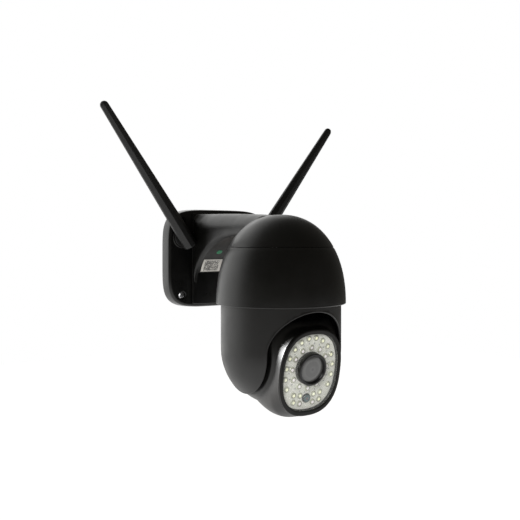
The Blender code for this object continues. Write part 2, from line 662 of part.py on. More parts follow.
def make_cheeks():
    """Flat covers inside the cheeks, with the bushes that the head's axles turn in."""
    inner = PAN_RADIUS - PAN_WALL
    near, far = SLOT_HALF, SLOT_HALF + 1.8 * MM
    depth = math.sqrt(inner**2 - far**2) - 0.6 * MM
    top = PAN_TOP_Z - DECK_DEPTH - GAP - TILT_Z
    outline = arc((0, 0), (depth, depth), 180, 360, 25) + [(depth, top), (-depth, top)]
    hole = oval(7.3 * MM, 7.3 * MM, count=24)
    for side, name in ((-1, "left"), (1, "right")):
        start = near if side > 0 else -far
        frame = sideways(start, PAN_Y, TILT_Z)
        slab(f"cheek_cover_{name}", [outline, hole], far - near, frame, finish=SATIN_BLACK)
        bush = ((9 * MM, 3.4 * MM), (9 * MM, 2.1 * MM), (7 * MM, 2.1 * MM), (7 * MM, 0), (5.3 * MM, 0),
                (5.3 * MM, 3.4 * MM))
        obj = turned(f"tilt_bush_{name}", bush, (0, 0, 0), "Z", 24, finish=BRASS)
        turn = Matrix.Rotation(side * math.pi / 2, 4, "Y")
        obj.matrix_local = Matrix.Translation((side * near, PAN_Y, TILT_Z)) @ turn
    ring("tilt_washer", 12 * MM, 5.5 * MM, (-41.2 * MM, PAN_Y, TILT_Z), 2.2 * MM, "X", 32, finish=NYLON)
    bore = oval(7.4 * MM, 7.4 * MM, count=24)
    slab("tilt_gear", [gear_outline(TILT_TEETH, math.pi - TILT_REST), bore], 2.2 * MM, sideways(39 * MM, PAN_Y, TILT_Z),
         finish=NYLON)


# The head


def head_side_outline(inset=0.0):
    """The head seen from its right, as (forward, up) points: a large arc at the front and below, a small one behind."""
    large, small = HEAD_RADIUS - inset, HEAD_BACK_RADIUS - inset
    top, bottom = 41, 147
    # The ball itself gives the front, so between its two ends this edge stands clear of it.
    first, last = arc((0, 0), (large, large), top, -bottom, 2)
    front = [first] + arc((0, 0), (1.3 * large, 1.3 * large), top - 12, 12 - bottom, 10) + [last]
    tangent = math.degrees(math.acos(small / large))
    rear = arc((0, 0), (small, small), -bottom - tangent, top + tangent - 360, 18)
    return front + rear


def head_solid(name, inset, finish=None):
    """The ball, flattened at its sides and trimmed behind. The snout is joined to it."""
    bm = bmesh.new()
    bmesh.ops.create_uvsphere(bm, u_segments=32, v_segments=16, radius=HEAD_RADIUS - inset, matrix=TURN_TO["X"])
    ball = from_bmesh(name, bm, HEAD, finish)
    half = HEAD_HALF - inset
    prism = slab(name + "_sides", [head_side_outline(inset)], 2 * half, sideways(-half), HEAD)
    keep(ball, prism)
    sections = []
    for forward, half, top, bottom, power in SNOUT_STATIONS + (((FACE_FRONT / MM + 2, 33.2, 31.9, -49.3, 2.5),)
                                                               if inset else ()):
        middle, tall = (top + bottom) / 2 * MM, (top - bottom) / 2 * MM - inset
        outline = oval(half * MM - inset, tall, power, 32, (0, middle))
        sections.append([(x, -forward * MM, z) for x, z in outline])
    return join(ball, loft(name + "_snout", sections, HEAD))


def make_head_shells():
    big = 90 * MM
    front = head_solid("head_front_shell", 0, BLACK)
    cut(front, head_solid("head_front_hollow", HEAD_WALL))
    cut(front, box("head_rear_half", (-big, HEAD_SPLIT - GAP / 2, -big), (big, big, big), HEAD))
    cut(front, box("face_trim", (-big, -big, -big), (big, BEZEL_DEPTH - FACE_FRONT, big), HEAD))
    rear = head_solid("head_rear_shell", 0, BLACK)
    cut(rear, head_solid("head_rear_hollow", HEAD_WALL))
    cut(rear, box("head_front_half", (-big, -big, -big), (big, HEAD_SPLIT + GAP / 2, big), HEAD))
    for side, name in ((-1, "left"), (1, "right")):
        cut(front, cylinder(f"axle_hole_{name}", 5.3 * MM, (side * 30 * MM, 0, 0), side * 12 * MM, "X", 24, HEAD))
        axle = ((5 * MM, 13.4 * MM), (5 * MM, 2.4 * MM), (8 * MM, 2.4 * MM), (8 * MM, 0), (0, 0), (0, 13.4 * MM))
        obj = turned(f"tilt_axle_{name}", axle, (0, 0, 0), "Z", 24, HEAD, STEEL)
        turn = Matrix.Rotation(side * math.pi / 2, 4, "Y")
        obj.matrix_local = Matrix.Translation((side * 33.4 * MM, 0, 0)) @ turn
    distance = (TILT_TEETH + PINION_TEETH) * MODULE / 2
    cut(rear, cylinder("tilt_shaft_hole", 3 * MM, (33 * MM, distance, 0), 8 * MM, "X", 16, HEAD))
    cylinder("tilt_motor", MOTOR_RADIUS, (18 * MM, distance, 0), 17 * MM, "X", 32, HEAD, STEEL)
    pinion = slab("tilt_pinion", [gear_outline(PINION_TEETH, math.pi / PINION_TEETH)], 2 * MM,
                  sideways(39.1 * MM, distance, 0), HEAD, BRASS)
    join(pinion, cylinder("tilt_shaft", 1.8 * MM, (35.3 * MM, distance, 0), 5 * MM, "X", 16, HEAD))


def led_places():
    """Lamp centres on the face: an outer oval, an inner circle round the lens, and rows beside the light sensor."""
    places = []
    for i in range(20):
        turn = math.pi / 2 + 2 * math.pi * (i + 0.5) / 20
        x, z = 25.7 * MM * math.cos(turn), FACE_CENTRE + 31.6 * MM * math.sin(turn)
        if z > CELL_Z + 4 * MM:
            places.append((x, z))
    for i in range(12):
        turn = math.pi / 2 + 2 * math.pi * i / 12
        places.append((19 * MM * math.cos(turn), LENS_Z + 19 * MM * math.sin(turn)))
    for x, z in ((7.4, -30.6), (14.6, -29.6), (7.2, -38.2), (14.2, -36.4)):
        places += [(x * MM, z * MM), (-x * MM, z * MM)]
    return places


def make_face():
    """What shows at the front of the head, from the bezel back to the circuit board."""
    inner = oval(*PANEL_HALF, FACE_POWER, centre=(0, FACE_CENTRE))
    outer = oval(*BEZEL_HALF, FACE_POWER, centre=(0, FACE_CENTRE))
    bezel_back = FACE_FRONT - BEZEL_DEPTH + GAP
    slab("face_bezel", [outer, inner], BEZEL_DEPTH - GAP, facing(bezel_back), HEAD, BLACK)
    lens_hole = oval(LENS_RADIUS + GAP, LENS_RADIUS + GAP, count=40, centre=(0, LENS_Z))
    cell_hole = oval(CELL_RADIUS + GAP, CELL_RADIUS + GAP, count=20, centre=(0, CELL_Z))

    def panel(name, trim, holes, thickness, distance, finish):
        edge = oval(PANEL_HALF[0] - trim, PANEL_HALF[1] - trim, FACE_POWER, centre=(0, FACE_CENTRE))
        return slab(name, [edge] + holes, thickness, facing(distance), HEAD, finish)

    panel("face_window", GAP, [lens_hole], 1.4 * MM, 49.8 * MM, CLEAR)
    lamps = panel("led_lens_sheet", 0.5 * MM, [lens_hole, cell_hole], 1 * MM, 46.6 * MM, WHITE)
    bm = bmesh.new()
    for x, z in led_places():
        bmesh.ops.create_cone(
            bm, cap_ends=True, segments=4, radius1=LED_RADIUS, radius2=LED_RADIUS * 0.7, depth=2 * MM,
            matrix=Matrix.Translation((x, -47.8 * MM, z)) @ Matrix.Rotation(math.pi / 2, 4, "X"),
        )
    join(lamps, from_bmesh("led_domes", bm, HEAD))
    panel("led_board", 0.5 * MM, [lens_hole, cell_hole], 1.6 * MM, 44.7 * MM, WHITE)
    panel("led_heat_sink", 1.5 * MM, [lens_hole, cell_hole], 2 * MM, 42.4 * MM, ALUMINIUM)
    centre = Matrix.Rotation(math.pi / 2, 4, "X")

    def lens_piece(name, profile, z, finish, sides=40):
        obj = turned(name, profile, (0, 0, 0), "Z", sides, HEAD, finish)
        obj.matrix_local = Matrix.Translation((0, 0, z)) @ centre
        return obj

    hood = ((LENS_RADIUS - 0.8 * MM, 54.2 * MM), (LENS_RADIUS, 53.4 * MM), (LENS_RADIUS, 38.3 * MM),
            (12.3 * MM, 38.3 * MM), (12.3 * MM, 52.6 * MM), (13 * MM, 54.2 * MM))
    lens_piece("lens_hood", hood, LENS_Z, RUBBER)
    glass = ((0, 53 * MM), (6 * MM, 52.7 * MM), (GLASS_RADIUS, 51.6 * MM), (GLASS_RADIUS, 50.4 * MM), (0, 50.4 * MM))
    lens_piece("lens_glass", glass, LENS_Z, GLASS)
    barrel = ((0, 50.1 * MM), (11.6 * MM, 50.1 * MM), (11.6 * MM, 38 * MM), (9.6 * MM, 38 * MM), (9.6 * MM, 17 * MM),
              (0, 17 * MM))
    lens_piece("lens_barrel", barrel, LENS_Z, SATIN_BLACK)
    holder = box("lens_holder", (-15 * MM, -37.8 * MM, LENS_Z - 15 * MM), (15 * MM, -17 * MM, LENS_Z + 15 * MM),
                 HEAD, SATIN_BLACK)
    cut(holder, cylinder("holder_bore", 9.9 * MM, (0, -12 * MM, LENS_Z), -30 * MM, "Y", 32, HEAD))
    box("sensor_board", (-19 * MM, -16.6 * MM, LENS_Z - 19 * MM), (19 * MM, -15 * MM, LENS_Z + 19 * MM), HEAD,
        GREEN_BOARD)
    cell = ((0, 49.3 * MM), (2.6 * MM, 49.1 * MM), (CELL_RADIUS, 48.2 * MM), (CELL_RADIUS, 43 * MM), (0, 43 * MM))
    lens_piece("light_sensor", cell, CELL_Z, GLASS, 20)


make_wall_plate()
make_back_plate()
make_plate_screws()
make_cable_gland()
make_aerial_sockets()
make_aerials()
make_arm_cover()
make_dome()
make_dome_base()
make_pan_drive()
make_housing()
make_cheeks()
HEAD = bpy.data.objects.new("tilt_axis", None)
PARTS.objects.link(HEAD)
HEAD.location = (0, PAN_Y, TILT_Z)
HEAD.rotation_euler = (TILT_REST, 0, 0)
make_head_shells()
make_face()
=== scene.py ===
"""Looks of the outdoor pan and tilt security camera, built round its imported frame.

Metres, +Z up, in the frame's own axes: the wall is at y = 0 and the camera looks along -Y.
Each visible shell gets a smooth piece in place of its CAD solid. What lies inside keeps its CAD
shape and gets a finish of its own.
"""

import json
import math

import bmesh
import bpy
import numpy as np
from mathutils import Matrix, Vector

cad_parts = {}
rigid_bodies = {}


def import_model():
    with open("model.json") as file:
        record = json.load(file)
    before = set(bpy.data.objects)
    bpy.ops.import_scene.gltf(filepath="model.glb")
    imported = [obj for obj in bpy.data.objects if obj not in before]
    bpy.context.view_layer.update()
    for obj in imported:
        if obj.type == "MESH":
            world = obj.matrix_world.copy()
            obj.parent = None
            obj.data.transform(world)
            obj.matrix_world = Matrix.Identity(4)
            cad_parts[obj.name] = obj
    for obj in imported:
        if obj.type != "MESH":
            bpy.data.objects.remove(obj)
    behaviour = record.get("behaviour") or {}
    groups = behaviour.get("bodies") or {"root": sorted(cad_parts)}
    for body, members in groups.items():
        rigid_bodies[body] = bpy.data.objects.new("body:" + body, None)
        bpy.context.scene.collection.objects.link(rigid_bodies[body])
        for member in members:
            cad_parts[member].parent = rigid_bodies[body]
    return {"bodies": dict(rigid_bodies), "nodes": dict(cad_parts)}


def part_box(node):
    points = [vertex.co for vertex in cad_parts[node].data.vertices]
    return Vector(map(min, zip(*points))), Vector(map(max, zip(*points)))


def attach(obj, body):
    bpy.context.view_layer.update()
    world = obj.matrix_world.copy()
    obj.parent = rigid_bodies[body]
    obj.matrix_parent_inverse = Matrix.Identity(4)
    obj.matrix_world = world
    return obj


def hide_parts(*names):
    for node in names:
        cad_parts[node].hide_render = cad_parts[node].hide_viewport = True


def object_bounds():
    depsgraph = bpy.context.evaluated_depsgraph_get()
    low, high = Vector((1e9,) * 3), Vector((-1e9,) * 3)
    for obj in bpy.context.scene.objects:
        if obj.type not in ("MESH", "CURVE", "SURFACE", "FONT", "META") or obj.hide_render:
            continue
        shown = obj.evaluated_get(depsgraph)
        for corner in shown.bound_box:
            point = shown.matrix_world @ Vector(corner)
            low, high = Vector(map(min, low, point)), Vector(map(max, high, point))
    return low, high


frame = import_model()
CAD_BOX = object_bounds()

MM = 0.001
GAP = 0.3 * MM


def low(node):
    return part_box(node)[0]


def high(node):
    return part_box(node)[1]


# Wall plate
PLATE_HALF = (high("wall_plate").x, high("wall_plate").z)
PLATE_POWER = 4.8  # superellipse exponent of its outline
PLATE_DEPTH = 15.3 * MM
PLATE_WALL = 3 * MM
BLOCK_HALF = 34.4 * MM  # half width of the raised middle that the arm starts from
BLOCK_DEPTH = -low("wall_plate").y
SCREW_NODES = [f"plate_screw_{z}_{x}" for z in ("lower", "upper") for x in ("left", "right")]

# Aerials
AERIAL_Y = -25 * MM
AERIAL_LEAN = {"left": math.radians(34.2), "right": math.radians(36.8)}
AERIAL_TOP = 162 * MM  # from the pivot to the tip
AERIAL_FOOT = 10.5 * MM
AERIAL_FOOT_HALF = (7.2 * MM, 6.3 * MM)
AERIAL_TIP_HALF = (4.2 * MM, 3.9 * MM)

# Arm, as half width, top height and shoulder radius at distances from the wall
ARM_STATIONS = (
    (17.3, 34.3, 47.6, 6.0),
    (21.0, 33.5, 47.6, 11.0),
    (27.0, 32.6, 47.5, 15.0),
    (36.0, 31.8, 47.4, 17.0),
    (50.0, 30.8, 47.2, 18.0),
    (66.0, 29.4, 46.8, 18.0),
    (84.0, 28.0, 46.2, 18.0),
    (104.0, 26.6, 45.0, 18.0),
    (123.0, 25.4, 43.4, 18.0),
)
ARM_WALL = 4 * MM
ARCH_CENTRE = (-96.6 * MM, -26.2 * MM)  # y, z of the quarter ellipse under the arm
ARCH_RADII = (78.2 * MM, 49.5 * MM)

# Dome
PAN_Y = (low("dome_skirt").y + high("dome_skirt").y) / 2
DOME_RADIUS = high("dome_skirt").x
LIP_Z = low("dome_skirt").z
SEAM_Z = high("dome_skirt").z
APEX_Z = 44.4 * MM
DOME_POWER = 2.2
DOME_WALL = 3 * MM

# Lower housing
PAN_RADIUS = high("pan_shell").x
PAN_TOP_Z = high("pan_shell").z
PAN_WALL = 2 * MM
TILT_Z = -82 * MM
SLOT_HALF = 41.5 * MM
SLOT_TOP = 38.5 * MM
SLOT_BACK = -25 * MM

# Head, in its own frame: forward is -Y, up is +Z, and the origin is on the tilt axis
HEAD = Matrix.Translation((0, PAN_Y, TILT_Z)) @ Matrix.Rotation(math.radians(10), 4, "X")
HEAD_RADIUS = 54.8 * MM
HEAD_HALF = 37 * MM
HEAD_BACK_RADIUS = 42 * MM
HEAD_WALL = 2.2 * MM
HEAD_SPLIT = 8 * MM
FACE_CENTRE = -8.7 * MM
FACE_POWER = 2.5
FACE_FRONT = 52.2 * MM
BEZEL_DEPTH = 3.2 * MM
BEZEL_HALF = (33.2 * MM, 40.6 * MM)
PANEL_HALF = (30 * MM, 36 * MM)
SNOUT_STATIONS = (
    (1, 36.2, 35.5, -51.4, 2.7),
    (9, 36.2, 35.5, -54.0, 3.1),
    (20, 36.0, 35.0, -55.4, 3.2),
    (30, 35.6, 34.4, -55.9, 3.1),
    (39, 34.9, 33.5, -54.6, 2.9),
    (46, 33.9, 32.3, -51.2, 2.6),
    (49, 33.2, 31.9, -49.3, 2.5),
    (58, 33.2, 31.9, -49.3, 2.5),
)
LENS_Z = -5.1 * MM
LENS_RADIUS = 15 * MM
GLASS_RADIUS = 12.2 * MM
CELL_Z = -33.7 * MM
CELL_RADIUS = 4.3 * MM
LED_RADIUS = 2.9 * MM


# Making meshes


def finish_mesh(bm, matrix=None):
    """Moves a closed bmesh into place, with its faces cut into triangles and turned outward."""
    bmesh.ops.triangulate(bm, faces=bm.faces)
    if matrix:
        bm.transform(matrix)
    if bm.calc_volume(signed=True) < 0:
        bmesh.ops.reverse_faces(bm, faces=bm.faces)
    return bm


def solid(name, bm, matrix=None):
    """An object from a closed bmesh, for a piece or for a tool that shapes one."""
    mesh = bpy.data.meshes.new(name)
    finish_mesh(bm, matrix).to_mesh(mesh)
    bm.free()
    obj = bpy.data.objects.new(name, mesh)
    bpy.context.scene.collection.objects.link(obj)
    return obj


def bake(obj):
    """Applies the object's modifiers."""
    graph = bpy.context.evaluated_depsgraph_get()
    obj.data = bpy.data.meshes.new_from_object(obj.evaluated_get(graph))
    obj.modifiers.clear()
    return obj


def shape(target, operation, *tools):
    """Cuts, joins or intersects the target with tools, which are used up."""
    for tool in tools:
        modifier = target.modifiers.new(tool.name, "BOOLEAN")
        modifier.operation = operation
        modifier.object = tool
        modifier.solver = "EXACT"
    bake(target)
    for tool in tools:
        bpy.data.objects.remove(tool)
    return target


def soften(obj, voxel, rounds):
    """Remeshes a solid evenly and smooths it, which rounds its edges and fillets its corners."""
    remesh = obj.modifiers.new("Even", "REMESH")
    remesh.mode = "VOXEL"
    remesh.voxel_size = voxel
    smooth = obj.modifiers.new("Round", "SMOOTH")
    smooth.factor = 0.5
    smooth.iterations = rounds
    obj.modifiers.new("Flat", "TRIANGULATE")
    return bake(obj)


def piece(obj, body, material, *stands_for, sharp=32):
    """Finishes an object as a visible piece: smooth shading, material, body and the CAD it stands for."""
    mesh = obj.data
    mesh.materials.clear()
    mesh.materials.append(material)
    mesh.polygons.foreach_set("use_smooth", np.ones(len(mesh.polygons), bool))
    mesh.set_sharp_from_angle(angle=math.radians(sharp))
    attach(obj, body)
    if stands_for:
        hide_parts(*stands_for)
    return obj


def loft(sections, closed=False):
    """A solid through rings of as many points each. Its ends are capped, or meet if it is closed."""
    bm = bmesh.new()
    rings = [[bm.verts.new(point) for point in section] for section in sections]
    for near, far in zip(rings, rings[1:] + rings[:1] if closed else rings[1:]):
        for i in range(len(near)):
            j = (i + 1) % len(near)
            bm.faces.new((near[i], near[j], far[j], far[i]))
    if not closed:
        bm.faces.new(rings[0])
        bm.faces.new(rings[-1])
    return bm


def lathe(profile, sides=128):
    """Spins a closed profile of (radius, height) points about Z."""
    bm = bmesh.new()
    rings = []
    for radius, height in profile:
        turns = [0] if radius < 1e-7 else [2 * math.pi * i / sides for i in range(sides)]
        rings.append([bm.verts.new((radius * math.cos(t), radius * math.sin(t), height)) for t in turns])
    for near, far in zip(rings, rings[1:] + rings[:1]):
        if len(near) == len(far) == 1:
            continue
        for i in range(sides):
            j = i + 1
            corners = [ring[k % len(ring)] for ring, k in ((near, i), (near, j), (far, j), (far, i))]
            bm.faces.new(dict.fromkeys(corners))
    return bm


def block(low_corner, high_corner):
    bm = bmesh.new()
    low_corner, high_corner = Vector(low_corner), Vector(high_corner)
    size = Matrix.Diagonal((*(high_corner - low_corner), 1))
    bmesh.ops.create_cube(bm, size=1, matrix=Matrix.Translation((low_corner + high_corner) / 2) @ size)
    return bm


def rounded(corners, steps=5):
    """A closed outline through corners of (x, y, radius), each rounded by an arc of its radius."""
    outline = []
    for k, (x, y, radius) in enumerate(corners):
        here = Vector((x, y))
        if not radius:
            outline.append((x, y))
            continue
        back = (Vector(corners[k - 1][:2]) - here).normalized()
        on = (Vector(corners[(k + 1) % len(corners)][:2]) - here).normalized()
        half = back.angle(on) / 2
        centre = here + (back + on).normalized() * radius / math.sin(half)
        start = here + back * radius / math.tan(half) - centre
        end = here + on * radius / math.tan(half) - centre
        first = math.atan2(start.y, start.x)
        sweep = (math.atan2(end.y, end.x) - first + math.pi) % (2 * math.pi) - math.pi
        for step in range(steps + 1):
            turn = first + sweep * step / steps
            outline.append((centre.x + radius * math.cos(turn), centre.y + radius * math.sin(turn)))
    return outline


def oval(half_width, half_height, power=2.0, count=96, centre=(0, 0)):
    """A superellipse: an ellipse at power 2, squarer as the power grows."""
    points = []
    for i in range(count):
        turn = 2 * math.pi * (i + 0.5) / count
        c, s = math.cos(turn), math.sin(turn)
        points.append((
            centre[0] + half_width * math.copysign(abs(c) ** (2 / power), c),
            centre[1] + half_height * math.copysign(abs(s) ** (2 / power), s),
        ))
    return points


def arc(centre, radii, start, end, count):
    """Points on an ellipse's arc, from the start angle to the end angle, in degrees."""
    points = []
    for i in range(count):
        turn = math.radians(start + (end - start) * i / (count - 1))
        points.append((centre[0] + radii[0] * math.cos(turn), centre[1] + radii[1] * math.sin(turn)))
    return points


def stations_at(stations, distance):
    """The values of a table of stations, read at a distance by a smooth curve through them."""
    places = [row[0] for row in stations]
    k = max(0, min(len(places) - 2, sum(p <= distance for p in places) - 1))
    a, b = max(0, k - 1), min(len(places) - 1, k + 2)
    t = (distance - places[k]) / (places[k + 1] - places[k])
    values = []
    for before, here, there, after in zip(stations[a], stations[k], stations[k + 1], stations[b]):
        bend = 2 * here + (there - before) * t + (2 * before - 5 * here + 4 * there - after) * t * t
        values.append((bend + (3 * here - before - 3 * there + after) * t**3) / 2)
    return values[1:]


def facing(z=0.0):
    """Turns a lathe's axis to point forward from the tilt axis, at this height in the head's frame."""
    return HEAD @ Matrix.Translation((0, 0, z)) @ Matrix.Rotation(math.pi / 2, 4, "X")


# Materials


def nodes_of(name):
    material = bpy.data.materials.new(name)
    material.use_nodes = True
    tree = material.node_tree
    return material, tree, tree.nodes["Principled BSDF"]


def add(tree, kind, links=(), **settings):
    """A shader node with its settings and inputs. An input is a number, a colour or another node's socket."""
    node = tree.nodes.new(kind)
    for key, value in settings.items():
        setattr(node, key, value)
    for socket, value in dict(links).items():
        if isinstance(value, bpy.types.NodeSocket):
            tree.links.new(value, node.inputs[socket])
        else:
            node.inputs[socket].default_value = value
    return node


def ramp(tree, value, stops, interpolation="LINEAR"):
    """A colour ramp over value, from (place, colour) stops."""
    node = add(tree, "ShaderNodeValToRGB", {"Fac": value})
    node.color_ramp.interpolation = interpolation
    elements = node.color_ramp.elements
    while len(elements) < len(stops):
        elements.new(0.5)
    for element, (place, colour) in zip(elements, stops):
        element.position = place
        element.color = (*colour, 1) if len(colour) == 3 else colour
    return node.outputs["Color"]


def noise(tree, place, scale, detail=3.0):
    return add(tree, "ShaderNodeTexNoise", {"Vector": place, "Scale": scale, "Detail": detail}).outputs["Fac"]


def spread(tree, value, lowest, highest):
    """Maps the middle half of a noise onto a range."""
    settings = {"Value": value, "From Min": 0.3, "From Max": 0.7, "To Min": lowest, "To Max": highest}
    return add(tree, "ShaderNodeMapRange", settings).outputs["Result"]


def object_place(tree):
    return add(tree, "ShaderNodeTexCoord").outputs["Object"]


def moulded(name, colour, lighter, roughness, grain=0.12, metallic=0.0, grain_scale=1400, coat=0.0, ior=1.5):
    """Moulded plastic, rubber or cast metal: cloudy colour, uneven gloss and a fine grain, paler along worn edges."""
    material, tree, shader = nodes_of(name)
    place = object_place(tree)
    clouds = ramp(tree, noise(tree, place, 34, 5), ((0.35, colour), (0.7, lighter)))
    worn = ramp(tree, add(tree, "ShaderNodeNewGeometry").outputs["Pointiness"], ((0.53, (0, 0, 0)), (0.6, (1, 1, 1))))
    scuffs = add(tree, "ShaderNodeMath", {0: worn, 1: noise(tree, place, 260, 4)}, operation="MULTIPLY")
    edge = tuple(min(1.0, 2.2 * c + 0.012) for c in lighter)
    blend = add(tree, "ShaderNodeMix", {"Factor": scuffs.outputs[0], "A": clouds, "B": (*edge, 1)}, data_type="RGBA")
    for socket in blend.inputs:
        if socket.type == "RGBA" and socket.name == "A":
            tree.links.new(clouds, socket)
        if socket.type == "RGBA" and socket.name == "B":
            socket.default_value = (*edge, 1)
    mixed = [socket for socket in blend.outputs if socket.type == "RGBA"][0]
    tree.links.new(mixed, shader.inputs["Base Color"])
    uneven = spread(tree, noise(tree, place, 70, 4), roughness - 0.035, roughness + 0.045)
    tree.links.new(uneven, shader.inputs["Roughness"])
    fine = noise(tree, place, grain_scale, 2)
    bump = add(tree, "ShaderNodeBump", {"Height": fine, "Strength": grain, "Distance": 0.00006})
    tree.links.new(bump.outputs["Normal"], shader.inputs["Normal"])
    shader.inputs["Metallic"].default_value = metallic
    shader.inputs["Coat Weight"].default_value = coat
    shader.inputs["Coat Roughness"].default_value = 0.12
    shader.inputs["IOR"].default_value = ior
    return material


def brushed(name, colour, roughness, scale=(40, 40, 2400)):
    """Metal with fine lines from turning or rolling."""
    material, tree, shader = nodes_of(name)
    place = add(tree, "ShaderNodeMapping", {"Vector": object_place(tree), "Scale": scale}).outputs["Vector"]
    lines = noise(tree, place, 1, 4)
    darker = tuple(0.72 * c for c in colour)
    tree.links.new(ramp(tree, lines, ((0.3, darker), (0.7, colour))), shader.inputs["Base Color"])
    tree.links.new(spread(tree, lines, roughness, roughness + 0.14), shader.inputs["Roughness"])
    bump = add(tree, "ShaderNodeBump", {"Height": lines, "Strength": 0.1, "Distance": 0.00005})
    tree.links.new(bump.outputs["Normal"], shader.inputs["Normal"])
    shader.inputs["Metallic"].default_value = 1.0
    return material


def circuit_board(name, colour, track):
    """Solder mask with the faint relief of the copper tracks below it."""
    material, tree, shader = nodes_of(name)
    place = object_place(tree)
    cells = add(tree, "ShaderNodeTexVoronoi", {"Vector": place, "Scale": 420}, distance="MANHATTAN")
    tracks = ramp(tree, cells.outputs["Distance"], ((0.3, track), (0.38, colour)))
    tree.links.new(tracks, shader.inputs["Base Color"])
    tree.links.new(spread(tree, noise(tree, place, 90), 0.3, 0.42), shader.inputs["Roughness"])
    bump = add(tree, "ShaderNodeBump", {"Height": cells.outputs["Distance"], "Strength": 0.15, "Distance": 0.0001})
    tree.links.new(bump.outputs["Normal"], shader.inputs["Normal"])
    return material


def ringed(name, axis_at, reach, stops, roughness, coat=0.0):
    """A round optical surface, coloured by distance from its own axis, which points forward in the head's frame."""
    material, tree, shader = nodes_of(name)
    place = add(tree, "ShaderNodeVectorMath", {0: object_place(tree), 1: axis_at}, operation="SUBTRACT")
    along = tuple(HEAD.to_3x3() @ Vector((0, -1, 0)))
    beside = add(tree, "ShaderNodeVectorMath", {0: place.outputs[0], 1: along}, operation="CROSS_PRODUCT")
    distance = add(tree, "ShaderNodeVectorMath", {0: beside.outputs[0]}, operation="LENGTH")
    share = add(tree, "ShaderNodeMath", {0: distance.outputs["Value"], 1: 1 / reach}, operation="MULTIPLY")
    tree.links.new(ramp(tree, share.outputs[0], stops), shader.inputs["Base Color"])
    tree.links.new(spread(tree, noise(tree, object_place(tree), 300), roughness, roughness + 0.05),
                   shader.inputs["Roughness"])
    shader.inputs["Coat Weight"].default_value = coat
    shader.inputs["Coat Roughness"].default_value = 0.04
    return material


def clear_pane(name):
    """Clear polycarbonate: mostly see-through, with an even gloss that is very slightly wavy."""
    material, tree, shader = nodes_of(name)
    shader.inputs["Base Color"].default_value = (0.9, 0.92, 0.9, 1)
    uneven = spread(tree, noise(tree, object_place(tree), 60), 0.02, 0.06)
    tree.links.new(uneven, shader.inputs["Roughness"])
    shader.inputs["Alpha"].default_value = 0.1
    return material


def label_print(name, corner, size):
    """White label stock with a square block pattern at its left and short faded dashes at its right."""
    material, tree, shader = nodes_of(name)
    place = object_place(tree)
    moved = add(tree, "ShaderNodeVectorMath", {0: place, 1: tuple(corner)}, operation="SUBTRACT")
    part = add(tree, "ShaderNodeSeparateXYZ", {"Vector": moved.outputs[0]}).outputs

    def cells(width, height):
        across = add(tree, "ShaderNodeMath", {0: part["X"], 1: 1 / width}, operation="MULTIPLY").outputs[0]
        up = add(tree, "ShaderNodeMath", {0: part["Z"], 1: 1 / height}, operation="MULTIPLY").outputs[0]
        x = add(tree, "ShaderNodeMath", {0: across}, operation="FLOOR").outputs[0]
        y = add(tree, "ShaderNodeMath", {0: up}, operation="FLOOR").outputs[0]
        at = add(tree, "ShaderNodeCombineXYZ", {"X": x, "Y": y})
        return add(tree, "ShaderNodeTexWhiteNoise", {"Vector": at.outputs[0]}).outputs["Value"]

    def between(socket, start, end):
        above = add(tree, "ShaderNodeMath", {0: socket, 1: start}, operation="GREATER_THAN").outputs[0]
        below = add(tree, "ShaderNodeMath", {0: socket, 1: end}, operation="LESS_THAN").outputs[0]
        return add(tree, "ShaderNodeMath", {0: above, 1: below}, operation="MULTIPLY").outputs[0]

    def inside(left, right, bottom, top):
        wide = between(part["X"], left, right)
        tall = between(part["Z"], bottom, top)
        return add(tree, "ShaderNodeMath", {0: wide, 1: tall}, operation="MULTIPLY").outputs[0]

    def marked(base, ink, mask, value, share):
        dark = add(tree, "ShaderNodeMath", {0: value, 1: share}, operation="LESS_THAN").outputs[0]
        both = add(tree, "ShaderNodeMath", {0: mask, 1: dark}, operation="MULTIPLY").outputs[0]
        return mix(tree, both, base, ink)

    width, height = size
    stock = ramp(tree, noise(tree, place, 90), ((0.3, (0.38, 0.365, 0.335)), (0.7, (0.5, 0.48, 0.44))))
    code = inside(0.06 * width, 0.46 * width, 0.08 * height, 0.92 * height)
    printed = marked(stock, (0.05, 0.048, 0.045), code, cells(0.55 * MM, 0.5 * MM), 0.62)
    dashes = inside(0.54 * width, 0.92 * width, 0.2 * height, 0.8 * height)
    printed = marked(printed, (0.28, 0.13, 0.11), dashes, cells(2.4 * MM, 1.1 * MM), 0.45)
    tree.links.new(printed, shader.inputs["Base Color"])
    tree.links.new(spread(tree, noise(tree, place, 200), 0.4, 0.5), shader.inputs["Roughness"])
    return material


def mix(tree, factor, base, other):
    """Base, a colour socket, with another colour laid over it by factor."""
    node = add(tree, "ShaderNodeMix", data_type="RGBA")
    sockets = {(s.name, s.type): s for s in node.inputs}
    tree.links.new(factor, node.inputs[0])
    tree.links.new(base, sockets["A", "RGBA"])
    sockets["B", "RGBA"].default_value = (*other, 1)
    return next(s for s in node.outputs if s.type == "RGBA")


